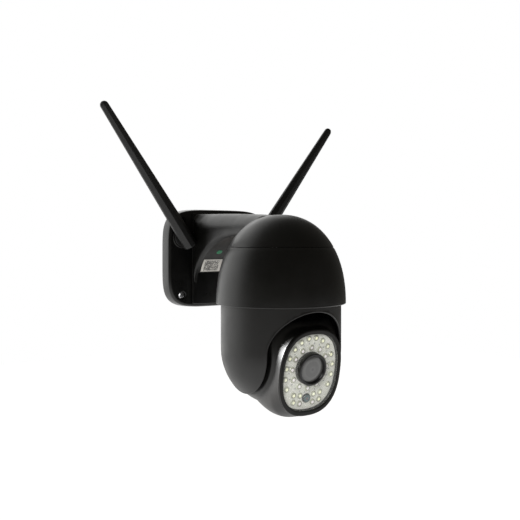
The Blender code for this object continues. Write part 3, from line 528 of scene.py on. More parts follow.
GLOSS_BLACK = moulded("gloss_black_plastic", (0.0035, 0.0035, 0.0034), (0.006, 0.0058, 0.0055), 0.3, 0.05)
DOME_BLACK = moulded("dome_black_plastic", (0.0055, 0.0054, 0.0048), (0.0085, 0.0082, 0.0074), 0.34, 0.06)
SATIN_BLACK = moulded("satin_black_plastic", (0.008, 0.0075, 0.007), (0.012, 0.0115, 0.0105), 0.4, 0.08)
BEZEL_BLACK = moulded("bezel_black_plastic", (0.007, 0.0065, 0.006), (0.011, 0.0105, 0.0095), 0.38, 0.08, ior=1.33)
MATT_BLACK = moulded("matt_black_plastic", (0.012, 0.012, 0.012), (0.019, 0.019, 0.019), 0.5, 0.14)
RUBBER = moulded("black_rubber", (0.008, 0.008, 0.008), (0.014, 0.014, 0.014), 0.62, 0.3)
HOOD_BLACK = moulded("lens_hood_black", (0.006, 0.006, 0.006), (0.01, 0.01, 0.01), 0.34, 0.1)
NYLON = moulded("natural_nylon", (0.62, 0.6, 0.53), (0.72, 0.7, 0.64), 0.45, 0.1)
STEEL = brushed("zinc_plated_steel", (0.55, 0.55, 0.56), 0.26)
BRASS = brushed("turned_brass", (0.72, 0.52, 0.22), 0.26)
ALUMINIUM = brushed("milled_aluminium", (0.7, 0.7, 0.72), 0.3)
GREEN_BOARD = circuit_board("green_solder_mask", (0.01, 0.09, 0.035), (0.02, 0.16, 0.06))
WHITE_BOARD = circuit_board("white_solder_mask", (0.6, 0.6, 0.54), (0.82, 0.8, 0.77))


# The bracket


def plate_ring(depth, inset, count=144):
    half_x, half_z = (half - inset for half in PLATE_HALF)
    return [(x, -depth, z) for x, z in oval(half_x, half_z, PLATE_POWER, count)]


def make_wall_plate():
    """The pillow-shaped shell, with its raised middle, screw seats and rounded edge."""
    room = PLATE_WALL + 0.8 * MM
    corners = (
        (PLATE_DEPTH - PLATE_WALL, PLATE_HALF[0] - 6 * MM, 0),
        (PLATE_DEPTH - PLATE_WALL, room, 1 * MM),
        (0, room, 0.3 * MM),
        (0, 0, 0.5 * MM),
        (PLATE_DEPTH - 3.6 * MM, 0.7 * MM, 0),
        (PLATE_DEPTH, 1.2 * MM, 3 * MM),
        (PLATE_DEPTH, PLATE_HALF[0] - 6 * MM, 0),
    )
    profile = rounded(corners, 7)[1:-1]
    plate = solid("wall_plate_shell", loft([plate_ring(depth, inset) for depth, inset in profile]))
    edge = rounded(((10 * MM, 0, 0), (BLOCK_DEPTH, 0, 0.9 * MM), (BLOCK_DEPTH, 9 * MM, 0)), 5)
    sections = []
    for depth, inset in edge[:-1]:
        half = BLOCK_HALF - inset
        ring = plate_ring(depth, 3.8 * MM + inset)
        sections.append([(max(-half, min(half, x)), y, z) for x, y, z in ring])
    raised = loft(sections)
    bmesh.ops.remove_doubles(raised, verts=raised.verts, dist=0.00001)
    shape(plate, "UNION", solid("raised_middle", raised))
    tools = [solid("arm_window", block((-24 * MM, -20 * MM, 4 * MM), (24 * MM, -8 * MM, 36 * MM)))]
    for node in SCREW_NODES:
        centre = (low(node) + high(node)) / 2
        turn = Matrix.Translation((centre.x, 0, centre.z)) @ Matrix.Rotation(math.pi / 2, 4, "X")
        seat = ((0, 12 * MM), (3.9 * MM, 12 * MM), (4.3 * MM, 12.4 * MM), (4.3 * MM, 14.9 * MM),
                (5 * MM, 15.5 * MM), (5 * MM, 19 * MM), (0, 19 * MM))
        tools.append(solid("seat", lathe(seat, 48), turn))
    shape(plate, "DIFFERENCE", *tools)
    piece(plate, "bracket", GLOSS_BLACK, "wall_plate", sharp=28)
    for node in SCREW_NODES:
        screw = frame["nodes"][node]
        bevel = screw.modifiers.new("Edge", "BEVEL")
        bevel.width = 0.12 * MM
        bevel.segments = 2


def make_cable_gland():
    """The ribbed rubber gland in the plate's lower edge."""
    lowest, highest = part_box("cable_gland")
    height = highest.z - lowest.z
    ribs = []
    for k in range(3):
        z = (1.2 + 1.2 * k) * MM
        ribs += [(6.4 * MM, z, 0.25 * MM), (6.4 * MM, z + 0.7 * MM, 0.25 * MM), (5.9 * MM, z + 0.8 * MM, 0),
                 (5.9 * MM, z + 1.1 * MM, 0)]
    corners = [(2.6 * MM, 0, 0.3 * MM), (5.4 * MM, 0, 0.6 * MM), *ribs, (6.4 * MM, 4.6 * MM, 0.2 * MM),
               (4 * MM, 4.6 * MM, 0), (4 * MM, height, 0.3 * MM), (2.6 * MM, height, 0.3 * MM)]
    at = Matrix.Translation(((lowest.x + highest.x) / 2, (lowest.y + highest.y) / 2, lowest.z))
    gland = solid("cable_gland_ribbed", lathe(rounded(corners, 3), 64), at)
    piece(gland, "bracket", RUBBER, "cable_gland")


def pivot_of(name):
    lowest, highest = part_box(f"aerial_socket_{name}")
    return Vector(((lowest.x + highest.x) / 2, AERIAL_Y, (lowest.z + highest.z) / 2))


def make_aerials():
    """Faceted blades with a rounded tip, on round hubs that turn in the plate's sockets."""
    facets = ((0.36, 1), (1, 0.3), (1, -0.3), (0.36, -1), (-0.36, -1), (-1, -0.3), (-1, 0.3), (-0.36, 1))
    edge = {0.36: 0.09, 1: 0.2}
    outline = rounded([(x, y, edge[abs(x)]) for x, y in facets], 4)
    ends = [(-AERIAL_FOOT, 0.86), (-AERIAL_FOOT + 0.3 * MM, 0.93), (-AERIAL_FOOT + 1 * MM, 0.985),
            (-AERIAL_FOOT + 2 * MM, 1.0), (14 * MM, 1.0)]
    for step in range(10):
        turn = math.radians(90 * step / 9)
        ends.append((AERIAL_TOP - 4.4 * MM * (1 - math.sin(turn)), max(0.06, math.cos(turn))))
    for side, name in ((-1, "left"), (1, "right")):
        pivot = pivot_of(name)
        body = f"aerial_{name}"
        leaning = Matrix.Translation(pivot) @ Matrix.Rotation(side * AERIAL_LEAN[name], 4, "Y")
        sections = []
        for z, scale in ends:
            taper = max(0.0, (z - 14 * MM) / (AERIAL_TOP - 18.4 * MM))
            half_x, half_y = (a + (b - a) * min(1.0, taper) for a, b in zip(AERIAL_FOOT_HALF, AERIAL_TIP_HALF))
            sections.append([(x * half_x * scale, y * half_y * scale, z) for x, y in outline])
        blade = solid(f"aerial_blade_{name}_faceted", loft(sections), leaning)
        piece(blade, body, MATT_BLACK, f"aerial_blade_{name}", sharp=40)
        back = AERIAL_FOOT_HALF[1] + GAP
        hub = rounded(((0, 0, 0), (9 * MM, 0, 0.35 * MM), (9 * MM, 0.9 * MM, 0.2 * MM), (6 * MM, 0.9 * MM, 0),
                       (6 * MM, 10.2 * MM, 0.5 * MM), (0, 10.2 * MM, 0)), 3)
        turn = leaning @ Matrix.Translation((0, back, 0)) @ Matrix.Rotation(-math.pi / 2, 4, "X")
        piece(solid(f"aerial_hub_{name}_turned", lathe(hub, 64), turn), body, MATT_BLACK, f"aerial_hub_{name}")
        socket = rounded(((10.8 * MM, 9.2 * MM, 0.7 * MM), (10.8 * MM, 7.6 * MM, 0), (9 * MM, 7.6 * MM, 0),
                          (9 * MM, 0, 0), (6.3 * MM, 0, 0), (6.3 * MM, 9.2 * MM, 0.5 * MM)), 4)
        turn = Matrix.Translation((pivot.x, -8 * MM, pivot.z)) @ Matrix.Rotation(math.pi / 2, 4, "X")
        piece(solid(f"aerial_socket_{name}_turned", lathe(socket, 72), turn), "bracket", SATIN_BLACK,
              f"aerial_socket_{name}")


def arch_point(degrees, outward=0.0):
    """A point (y, z) on the ellipse under the arm, or this far outside it."""
    turn = math.radians(degrees)
    a, b = ARCH_RADII
    normal = Vector((b * math.cos(turn), a * math.sin(turn))).normalized()
    return Vector((ARCH_CENTRE[0] + a * math.cos(turn), ARCH_CENTRE[1] + b * math.sin(turn))) + outward * normal


def arch_height(y):
    share = min(1.0, max(0.0, (y - ARCH_CENTRE[0]) / ARCH_RADII[0]))
    return ARCH_CENTRE[1] + ARCH_RADII[1] * math.sqrt(1 - share * share)


def arm_section(y, half, top, shoulder, bottom, foot):
    """The arm's section: round shoulders above, small rounds of radius foot below."""
    shoulder = min(shoulder, top - bottom - foot - 1 * MM)
    right = arc((half - foot, bottom + foot), (foot, foot), -90, 0, 6)
    right += arc((half - shoulder, top - shoulder), (shoulder, shoulder), 0, 90, 16)
    points = right + [(-x, z) for x, z in reversed(right)]
    return [(x, y, z) for x, z in points]


def arm_sections(inset, extra=0.0):
    """The arm's sections, or those of its hollow, which runs on past both ends."""
    first, last = ARM_STATIONS[0][0], ARM_STATIONS[-1][0]
    sections = []
    for i in range(49):
        # Sections crowd towards the wall, where the arch is steep.
        distance = first + (last - first) * (i / 48) ** 1.7
        half, top, shoulder = (value * MM for value in stations_at(ARM_STATIONS, distance))
        y = -distance * MM
        foot, drop = (1 * MM, 15 * MM) if inset else (4 * MM, 0)
        shoulder = max(2 * MM, shoulder - inset)
        sections.append(arm_section(y, half - inset, top - inset, shoulder, arch_height(y) - drop, foot))
    if extra:
        sections.insert(0, [(x, y + extra, z) for x, y, z in sections[0]])
        sections.append([(x, y - extra, z) for x, y, z in sections[-1]])
    return sections


def dome_radius(z, grow=0.0):
    share = (z - LIP_Z) / (APEX_Z + grow - LIP_Z)
    return (DOME_RADIUS + grow) * max(0.0, 1 - max(0.0, share) ** DOME_POWER) ** (1 / DOME_POWER)


def dome_profile(bottom, grow=0.0, count=40):
    """The dome from its apex down to a level, as (radius, height) points that crowd at the top."""
    top = APEX_Z + grow
    heights = [top - (top - bottom) * (1 - math.cos(math.pi / 2 * i / count)) for i in range(count + 1)]
    return [(0.0 if z >= top else dome_radius(z, grow), z) for z in heights]


def true_dome(obj):
    """Puts the points of the dome that lie clear of the arm exactly on its curve."""
    mesh = obj.data
    points = np.empty(len(mesh.vertices) * 3)
    mesh.vertices.foreach_get("co", points)
    points = points.reshape(-1, 3)
    beside = np.abs(points[:, 0]) - 30 * MM
    before = PAN_Y + 3 * MM - points[:, 1]
    clear = np.clip(np.maximum(beside, before) / (6 * MM), 0, 1)[:, None]
    centre = np.array((0, PAN_Y, LIP_Z))
    size = np.array((DOME_RADIUS, DOME_RADIUS, APEX_Z - LIP_Z))
    moved = points - centre
    for _ in range(3):
        flat = np.hypot(moved[:, 0], moved[:, 1]) / size[0]
        tall = np.maximum(moved[:, 2], 0) / size[2]
        excess = flat**DOME_POWER + tall**DOME_POWER - 1
        slope = np.empty_like(moved)
        around = DOME_POWER * flat ** (DOME_POWER - 2) / size[0] ** 2
        slope[:, 0], slope[:, 1] = around * moved[:, 0], around * moved[:, 1]
        slope[:, 2] = DOME_POWER * tall ** (DOME_POWER - 1) / size[2]
        step = excess[:, None] * slope / np.maximum((slope**2).sum(1), 1e-12)[:, None]
        near = np.abs(step).max(1) < 1.2 * MM
        moved -= step * clear * near[:, None]
    mesh.vertices.foreach_set("co", (moved + centre).ravel())
    mesh.update()


def make_dome():
    """The cap and arm as one casting, with a fillet between them, and the skirt below the seam."""
    spare = 8 * MM
    cap = solid("dome_cap_and_arm", lathe(dome_profile(SEAM_Z - spare) + [(0, SEAM_Z - spare)], 160),
                Matrix.Translation((0, PAN_Y, 0)))
    shape(cap, "UNION", solid("arm", loft(arm_sections(0))))
    soften(cap, 0.9 * MM, 8)
    true_dome(cap)
    wall_end = block((-0.1, -ARM_STATIONS[0][0] * MM, -0.1), (0.1, 0.1, 0.1))
    below = lathe(((0, SEAM_Z + GAP), (0, -0.1), (70 * MM, -0.1), (70 * MM, SEAM_Z + GAP)), 64)
    place = Matrix.Translation((0, PAN_Y, 0))
    inside = lathe(dome_profile(SEAM_Z - spare, -DOME_WALL) + [(0, SEAM_Z - spare)], 96)
    shape(cap, "DIFFERENCE", solid("wall_end", wall_end), solid("below", below, place),
          solid("inside", inside, place), solid("arm_hollow", loft(arm_sections(ARM_WALL, 5 * MM))))
    piece(cap, "bracket", DOME_BLACK, "dome_and_arm", sharp=40)

    count = 26
    outer = [(dome_radius(z), z) for z in (SEAM_Z + (LIP_Z - SEAM_Z) * i / count for i in range(count + 1))]
    inner = [(radius - DOME_WALL, z) for radius, z in outer[::-1]]
    bead = 0.9 * MM
    corners = [(outer[0][0] - 0.5 * MM, SEAM_Z), *outer[1:-1]]
    corners += [(DOME_RADIUS - 0.1 * MM, LIP_Z + 2.2 * bead), (DOME_RADIUS, LIP_Z + bead)]
    corners += arc((DOME_RADIUS - bead, LIP_Z + bead), (bead, bead), -15, -90, 6)
    profile = corners + [(DOME_RADIUS - DOME_WALL, LIP_Z)] + inner[1:]
    profile = [p for p in profile if p[1] >= LIP_Z]
    skirt = solid("dome_skirt_turned", lathe(profile, 160), place)
    piece(skirt, "bracket", DOME_BLACK, "dome_skirt", sharp=40)


def arm_half_width(y):
    distance = max(ARM_STATIONS[0][0], min(ARM_STATIONS[-1][0], -y / MM))
    return stations_at(ARM_STATIONS, distance)[0] * MM


def arch_sheet(start, end, near, far, side_gap, left, right, steps):
    """A thin sheet that follows the arch under the arm."""
    sections = []
    for i in range(steps + 1):
        degrees = start + (end - start) * i / steps
        y0, z0 = arch_point(degrees, near)
        y1, z1 = arch_point(degrees, far)
        room = arm_half_width(y0) - side_gap
        lowest, highest = -min(room, left), min(room, right)
        sections.append([(lowest, y0, z0), (highest, y0, z0), (highest, y1, z1), (lowest, y1, z1)])
    return loft(sections)


def make_arm_cover():
    """The cover that closes the arm from below, its rating label and a small round inspection sticker."""
    side = ARM_WALL + GAP
    cover = solid("arm_cover_curved", arch_sheet(12.5, 86, 0.9 * MM, 2.2 * MM, side, 1, 1, 60))
    piece(cover, "bracket", BEZEL_BLACK, "arm_cover")
    label = solid("rating_label_curved",
                  arch_sheet(14, 30, 0.3 * MM, 0.6 * MM, side + 0.6 * MM, 26.6 * MM, 16 * MM, 20))
    corner = Vector((low("rating_label").x, 0, low("rating_label").z))
    size = high("rating_label") - low("rating_label")
    piece(label, "bracket", label_print("label_print", corner, (size.x, size.z)), "rating_label")
    y, z = arch_point(41, 0.3 * MM)
    turn = math.radians(41)
    outward = Vector((0, ARCH_RADII[1] * math.cos(turn), ARCH_RADII[0] * math.sin(turn))).normalized()
    disc = rounded(((0, 0, 0), (3.1 * MM, 0, 0), (3.1 * MM, 0.3 * MM, 0.1 * MM), (0, 0.3 * MM, 0)), 3)
    turned = Matrix.Translation((-13 * MM, y, z)) @ (-outward).to_track_quat("Z", "Y").to_matrix().to_4x4()
    sticker = solid("inspection_sticker", lathe(disc, 48), turned @ Matrix.Translation((0, 0, -0.5 * MM)))
    piece(sticker, "bracket", moulded("green_paper", (0.015, 0.16, 0.07), (0.03, 0.24, 0.11), 0.5, 0.2))


# The lower housing


def rim_route(radius):
    """The edge of the housing's slot on a shell of this radius, once round, from the tilt axis's level."""
    drop = math.sqrt(radius**2 - SLOT_HALF**2)
    back = math.degrees(math.pi - math.asin(-SLOT_BACK / drop))
    route = []
    for x, z in arc((0, 0), (SLOT_HALF, SLOT_TOP), 0, 180, 61):
        route.append((x, -math.sqrt(radius**2 - x * x), z))
    for y, z in arc((0, 0), (-drop, -drop), 0, back, 50)[1:]:
        route.append((-SLOT_HALF, y, z))
    for i in range(1, 30):
        x = SLOT_HALF * (2 * i / 30 - 1)
        route.append((x, math.sqrt(radius**2 - x * x - SLOT_BACK**2), SLOT_BACK))
    for y, z in arc((0, 0), (-drop, -drop), back, 0, 50)[:-1]:
        route.append((SLOT_HALF, y, z))
    return [Vector(p) for p in route]


def tube_bmesh(route, radius):
    """A round bead along a closed route."""
    curve = bpy.data.curves.new("bead", "CURVE")
    curve.dimensions = "3D"
    curve.bevel_depth = radius
    curve.bevel_resolution = 5
    spline = curve.splines.new("POLY")
    spline.points.add(len(route) - 1)
    for point, at in zip(spline.points, route):
        point.co = (*at, 1)
    spline.use_cyclic_u = True
    obj = bpy.data.objects.new("bead", curve)
    bpy.context.scene.collection.objects.link(obj)
    mesh = bpy.data.meshes.new_from_object(obj.evaluated_get(bpy.context.evaluated_depsgraph_get()))
    bpy.data.objects.remove(obj)
    bm = bmesh.new()
    bm.from_mesh(mesh)
    return bm


def make_housing():
    """The turning shell: a round skirt over a half ball, with a rounded rim along the head's slot."""
    centre = Matrix.Translation((0, PAN_Y, TILT_Z))
    height = PAN_TOP_Z - TILT_Z
    inner = PAN_RADIUS - PAN_WALL
    skirt = [(PAN_RADIUS, height * (1 - i / 14)) for i in range(14)]
    ball = arc((0, 0), (PAN_RADIUS, PAN_RADIUS), 0, -90, 48)
    hollow = arc((0, 0), (inner, inner), -90, 0, 48)
    ball[-1], hollow[0] = (0, -PAN_RADIUS), (0, -inner)
    shell = solid("pan_shell_turned", lathe(skirt + ball + hollow + [(inner, height)], 192), centre)
    arch = arc((0, 0), (SLOT_HALF, SLOT_TOP), 0, 180, 81) + [(-SLOT_HALF, -80 * MM), (SLOT_HALF, -80 * MM)]
    front = loft([[(x, y, z) for x, z in arch] for y in (0, -70 * MM)])
    under = block((-SLOT_HALF, -70 * MM, -80 * MM), (SLOT_HALF, 70 * MM, SLOT_BACK))
    shape(shell, "DIFFERENCE", solid("slot_front", front, centre), solid("slot_under", under, centre))
    rim = solid("rim", tube_bmesh(rim_route(PAN_RADIUS - PAN_WALL / 2), PAN_WALL / 2 + 0.12 * MM), centre)
    shape(shell, "UNION", rim)
    piece(shell, "housing", SATIN_BLACK, "pan_shell", sharp=50)


# The head


def head_side_outline(inset=0.0):
    """The head seen from its right, as (forward, up) points: a large arc at the front and below, a small one behind."""
    large, small = HEAD_RADIUS - inset, HEAD_BACK_RADIUS - inset
    top, bottom = 41, 147
    first, last = arc((0, 0), (large, large), top, -bottom, 2)
    front = [first] + arc((0, 0), (1.3 * large, 1.3 * large), top - 12, 12 - bottom, 24) + [last]
    tangent = math.degrees(math.acos(small / large))
    rear = arc((0, 0), (small, small), -bottom - tangent, top + tangent - 360, 48)
    return front + rear


def outline_reach(outline, point):
    """What to scale a point by to bring it inside a convex outline round the origin, at most 1."""
    reach = 1.0
    for start, end in zip(outline, outline[1:] + outline[:1]):
        along = end - start
        outward = Vector((-along.y, along.x)).normalized()
        distance = outward.dot(start)
        if distance < 0:
            outward, distance = -outward, -distance
        if outward.dot(point) > distance:
            reach = min(reach, distance / outward.dot(point))
    return reach


def head_solid(name, inset, fine):
    """The ball, flattened at its sides and trimmed behind, with the snout joined to it, in the head's frame."""
    bm = bmesh.new()
    sides = 128 if fine else 48
    bmesh.ops.create_uvsphere(bm, u_segments=sides, v_segments=sides // 2, radius=HEAD_RADIUS - inset,
                              matrix=Matrix.Rotation(math.pi / 2, 4, "Y"))
    half = HEAD_HALF - inset
    outline = [Vector(point) for point in head_side_outline(inset)]
    for vert in bm.verts:
        vert.co.x = max(-half, min(half, vert.co.x))
        reach = outline_reach(outline, Vector((-vert.co.y, vert.co.z)))
        vert.co.y, vert.co.z = vert.co.y * reach, vert.co.z * reach
    ball = solid(name, bm)
    steps = 30 if fine else 10
    first = SNOUT_STATIONS[0][0]
    sections = []
    for i in range(steps + 1):
        forward = first + (SNOUT_STATIONS[-1][0] - first) * i / steps
        half, top, bottom, power = stations_at(SNOUT_STATIONS, forward)
        middle, tall = (top + bottom) / 2 * MM, (top - bottom) / 2 * MM - inset
        outline = oval(half * MM - inset, tall, power, 128 if fine else 48, (0, middle))
        sections.append([(x, -forward * MM, z) for x, z in outline])
    return shape(ball, "UNION", solid("snout", loft(sections)))


def make_head_shells():
    big = 90 * MM
    head = soften(head_solid("head_outside", 0, True), 0.8 * MM, 7)
    hollow = head_solid("head_hollow", HEAD_WALL, False)
    face = solid("face_trim", block((-big, -big, -big), (big, BEZEL_DEPTH - FACE_FRONT, big)))
    shape(head, "DIFFERENCE", hollow, face)
    for name, keep_from, keep_to in (("front", -big, HEAD_SPLIT - GAP / 2), ("rear", HEAD_SPLIT + GAP / 2, big)):
        shell = bpy.data.objects.new(f"head_{name}_shell_smooth", head.data.copy())
        bpy.context.scene.collection.objects.link(shell)
        tools = [solid("half", block((-big, keep_from, -big), (big, keep_to, big)))]
        shape(shell, "INTERSECT", *tools)
        if name == "front":
            holes = []
            for side in (-1, 1):
                turn = Matrix.Rotation(side * math.pi / 2, 4, "Y")
                hole = lathe(((0, 30 * MM), (5.3 * MM, 30 * MM), (5.3 * MM, 42 * MM), (0, 42 * MM)), 48)
                holes.append(solid("axle_hole", hole, turn))
            shape(shell, "DIFFERENCE", *holes)
        else:
            turn = Matrix.Translation((0, 26 * MM, 0)) @ Matrix.Rotation(math.pi / 2, 4, "Y")
            hole = lathe(((0, 33 * MM), (3 * MM, 33 * MM), (3 * MM, 42 * MM), (0, 42 * MM)), 32)
            shape(shell, "DIFFERENCE", solid("shaft_hole", hole, turn))
        shell.data.transform(HEAD)
        piece(shell, "head", SATIN_BLACK, f"head_{name}_shell", sharp=45)
    bpy.data.objects.remove(head)


def face_ring(share, forward, count=128):
    """A ring on the face, from the bezel's outline at share 0 to the panel's at share 1."""
    half_x, half_z = (a + (b - a) * share for a, b in zip(BEZEL_HALF, PANEL_HALF))
    return [(x, -forward, z) for x, z in oval(half_x, half_z, FACE_POWER, count, (0, FACE_CENTRE))]


def make_bezel():
    """The raised ring round the face, rounded over towards the window."""
    back = FACE_FRONT - BEZEL_DEPTH + GAP
    width = BEZEL_HALF[0] - PANEL_HALF[0]
    corners = ((0, back, 0), (0, FACE_FRONT, 1.1 * MM), (width, FACE_FRONT - 0.3 * MM, 0.6 * MM), (width, back, 0))
    sections = [face_ring(across / width, forward) for across, forward in rounded(corners, 6)]
    piece(solid("face_bezel_rounded", loft(sections, closed=True), HEAD), "head", BEZEL_BLACK, "face_bezel")


def panel(name, trim, back, thickness, holes, edge=0.12 * MM):
    """A flat panel behind the bezel, with softened edges and round holes of (height, radius)."""
    front = back + thickness
    steps = ((back, edge), (back + edge, 0), (front - edge, 0), (front, edge))
    sections = []
    for forward, inset in steps:
        half_x, half_z = (half - trim - inset for half in PANEL_HALF)
        outline = oval(half_x, half_z, FACE_POWER, 128, (0, FACE_CENTRE))
        sections.append([(x, -forward, z) for x, z in outline])
    obj = solid(name, loft(sections))
    tools = []
    for height, radius in holes:
        hole = lathe(((0, 20 * MM), (radius, 20 * MM), (radius, 70 * MM), (0, 70 * MM)), 64)
        turn = Matrix.Translation((0, 0, height)) @ Matrix.Rotation(math.pi / 2, 4, "X")
        tools.append(solid("hole", hole, turn))
    return shape(obj, "DIFFERENCE", *tools)


def led_places():
    """Lamp centres on the face, as (x, z, kind): an outer oval, a circle round the lens, and rows by the sensor."""
    places = []
    for i in range(20):
        turn = math.pi / 2 + 2 * math.pi * (i + 0.5) / 20
        x, z = 25.7 * MM * math.cos(turn), FACE_CENTRE + 31.6 * MM * math.sin(turn)
        if z > CELL_Z + 4 * MM:
            places.append((x, z, "white"))
    for i in range(12):
        turn = math.pi / 2 + 2 * math.pi * i / 12
        places.append((19 * MM * math.cos(turn), LENS_Z + 19 * MM * math.sin(turn), "infrared"))
    for x, z, kind in ((7.4, -30.6, "white"), (14.6, -29.6, "white"), (7.2, -38.2, "infrared"), (14.2, -36.4, "white")):
        places += [(x * MM, z * MM, kind), (-x * MM, z * MM, kind)]
    return places


def add_lathes(profile, centres, sides=24):
    """One bmesh of the same turned shape at each (x, z), facing forward in the head's frame."""
    whole = bmesh.new()
    for x, z in centres:
        one = lathe(profile, sides)
        one.transform(Matrix.Translation((x, 0, z)) @ Matrix.Rotation(math.pi / 2, 4, "X"))
        mesh = bpy.data.meshes.new("lamp")
        finish_mesh(one).to_mesh(mesh)
        one.free()
        whole.from_mesh(mesh)
        bpy.data.meshes.remove(mesh)
    return whole


def make_lamps():
    """The lamp board as it shows: a pale sheet, a moulded lens over each lamp and the chip in its middle."""
    holes = ((LENS_Z, LENS_RADIUS + GAP), (CELL_Z, CELL_RADIUS + GAP))
    top = 47.6 * MM
    sheet = panel("lamp_sheet", 0.5 * MM, 46.6 * MM, 1 * MM, holes)
    sheet.data.transform(HEAD)
    piece(sheet, "head", WHITE_BOARD, "led_lens_sheet")
    lens = [(LED_RADIUS, top - 0.2 * MM)]
    lens += arc((1.15 * MM, top), (LED_RADIUS - 1.15 * MM, 1.2 * MM), 0, 80, 7)
    lens += [(1.15 * MM, top + 0.75 * MM), (0, top + 0.7 * MM), (0, top - 0.2 * MM)]
    chip = [(1.8 * MM, top + 0.6 * MM), (1.8 * MM, top + 0.95 * MM), (1.1 * MM, top + 1.25 * MM),
            (0, top + 1.3 * MM), (0, top + 0.6 * MM)]
    places = led_places()
    lenses = solid("lamp_lenses", add_lathes(lens, [p[:2] for p in places]), HEAD)
    piece(lenses, "head", moulded("lamp_lens_clear", (0.2, 0.205, 0.15), (0.42, 0.43, 0.34), 0.1, 0.0, coat=0.7))
    chips = {
        "white": moulded("lamp_phosphor", (0.93, 0.92, 0.55), (1.0, 1.0, 0.74), 0.3, 0.1),
        "infrared": moulded("lamp_infrared", (0.74, 0.66, 0.68), (0.97, 0.92, 0.93), 0.2, 0.1),
    }
    for kind, material in chips.items():
        centres = [(x, z) for x, z, one in places if one == kind]
        piece(solid(f"lamp_chips_{kind}", add_lathes(chip, centres), HEAD), "head", material)
    parts = bmesh.new()
    for i in range(24):
        turn = math.radians(7.5 + 15 * i)
        x, z = 22.3 * MM * math.cos(turn), LENS_Z + 22.9 * MM * math.sin(turn)
        if z > CELL_Z + 5 * MM:
            size = Matrix.Diagonal((1.5 * MM, 0.5 * MM, 0.8 * MM, 1))
            turned = Matrix.Translation((x, -top - 0.2 * MM, z)) @ Matrix.Rotation(-turn, 4, "Y") @ size
            bmesh.ops.create_cube(parts, size=1, matrix=turned)
    chips_of = solid("board_resistors", parts, HEAD)
    bevel = chips_of.modifiers.new("Edge", "BEVEL")
    bevel.width = 0.08 * MM
    bevel.segments = 2
    piece(bake(chips_of), "head", brushed("solder_and_ceramic", (0.4, 0.4, 0.42), 0.25))


def make_window():
    window = panel("face_window_clear", GAP, 49.8 * MM, 1.4 * MM, ((LENS_Z, LENS_RADIUS + GAP),), 0.2 * MM)
    window.data.transform(HEAD)
    piece(window, "head", clear_pane("clear_polycarbonate"), "face_window")


def make_lens():
    """The hood, the domed front glass and the light sensor."""
    hood = rounded(((LENS_RADIUS, 38.3 * MM, 0), (LENS_RADIUS, 54.2 * MM, 0.9 * MM), (13 * MM, 54.2 * MM, 0.3 * MM),
                    (12.3 * MM, 52.6 * MM, 0), (12.3 * MM, 38.3 * MM, 0)), 6)
    piece(solid("lens_hood_turned", lathe(hood, 128), facing(LENS_Z)), "head", HOOD_BLACK, "lens_hood")
    bulge = 1.4 * MM
    glass = [(0, 50.4 * MM), (GLASS_RADIUS, 50.4 * MM)]
    for i in range(13):
        share = 1 - i / 12
        glass.append((GLASS_RADIUS * share, 51.6 * MM + bulge * (1 - share * share)))
    stops = ((0.0, (0.05, 0.05, 0.051)), (0.1, (0.055, 0.055, 0.056)), (0.14, (0.075, 0.075, 0.074)),
             (0.34, (0.06, 0.06, 0.059)), (0.6, (0.062, 0.062, 0.061)), (0.64, (0.078, 0.078, 0.076)),
             (0.92, (0.066, 0.066, 0.064)), (1.0, (0.03, 0.03, 0.03)))
    at = HEAD @ Vector((0, 0, LENS_Z))
    material = ringed("coated_lens", tuple(at), GLASS_RADIUS, stops, 0.16, 0.6)
    piece(solid("lens_glass_domed", lathe(glass, 96), facing(LENS_Z)), "head", material, "lens_glass")
    cell = [(0, 43 * MM), (CELL_RADIUS, 43 * MM), (CELL_RADIUS, 48 * MM)]
    cell += arc((CELL_RADIUS - 1.2 * MM, 48 * MM), (1.2 * MM, 1.2 * MM), 0, 80, 6) + [(0, 49.3 * MM)]
    stops = ((0.0, (0.12, 0.03, 0.035)), (0.22, (0.09, 0.05, 0.05)), (0.35, (0.02, 0.07, 0.075)),
             (0.75, (0.012, 0.045, 0.05)), (0.85, (0.004, 0.01, 0.012)), (1.0, (0.01, 0.02, 0.022)))
    at = HEAD @ Vector((0, 0, CELL_Z))
    material = ringed("light_cell", tuple(at), CELL_RADIUS, stops, 0.15, 0.5)
    piece(solid("light_sensor_domed", lathe(cell, 64), facing(CELL_Z)), "head", material, "light_sensor")


# CAD parts that keep their shape

FINISHES = {
    STEEL: ["back_plate", "wifi_module", "pan_motor_bracket", "pan_motor", "tilt_motor", "tilt_axle_left",
            "tilt_axle_right", *SCREW_NODES],
    BRASS: ["thrust_washer", "hub_nut", "pan_pinion", "tilt_pinion", "tilt_bush_left", "tilt_bush_right"],
    NYLON: ["pan_hub", "pan_gear", "tilt_gear", "tilt_washer"],
    ALUMINIUM: ["processor_heat_sink", "led_heat_sink"],
    GREEN_BOARD: ["main_board", "sensor_board"],
    WHITE_BOARD: ["led_board"],
    RUBBER: ["seam_seal", "aerial_lead_left", "aerial_lead_right"],
    MATT_BLACK: ["dome_base", "pan_deck", "cheek_cover_left", "cheek_cover_right", "lens_barrel", "lens_holder"],
}


def finish_cad():
    """Gives each CAD part that stays its own material."""
    for material, names in FINISHES.items():
        for name in names:
            materials = frame["nodes"][name].data.materials
            materials.clear()
            materials.append(material)


# The studio

BACKDROP = (1.5, 1.5, 1.48)
ROOM_SIDE = (0.11, 0.106, 0.097)
ROOM_DARK = (0.08, 0.075, 0.064)
PALE_PIECES = ("lamp_", "board_resistors", "lens_glass", "light_sensor")


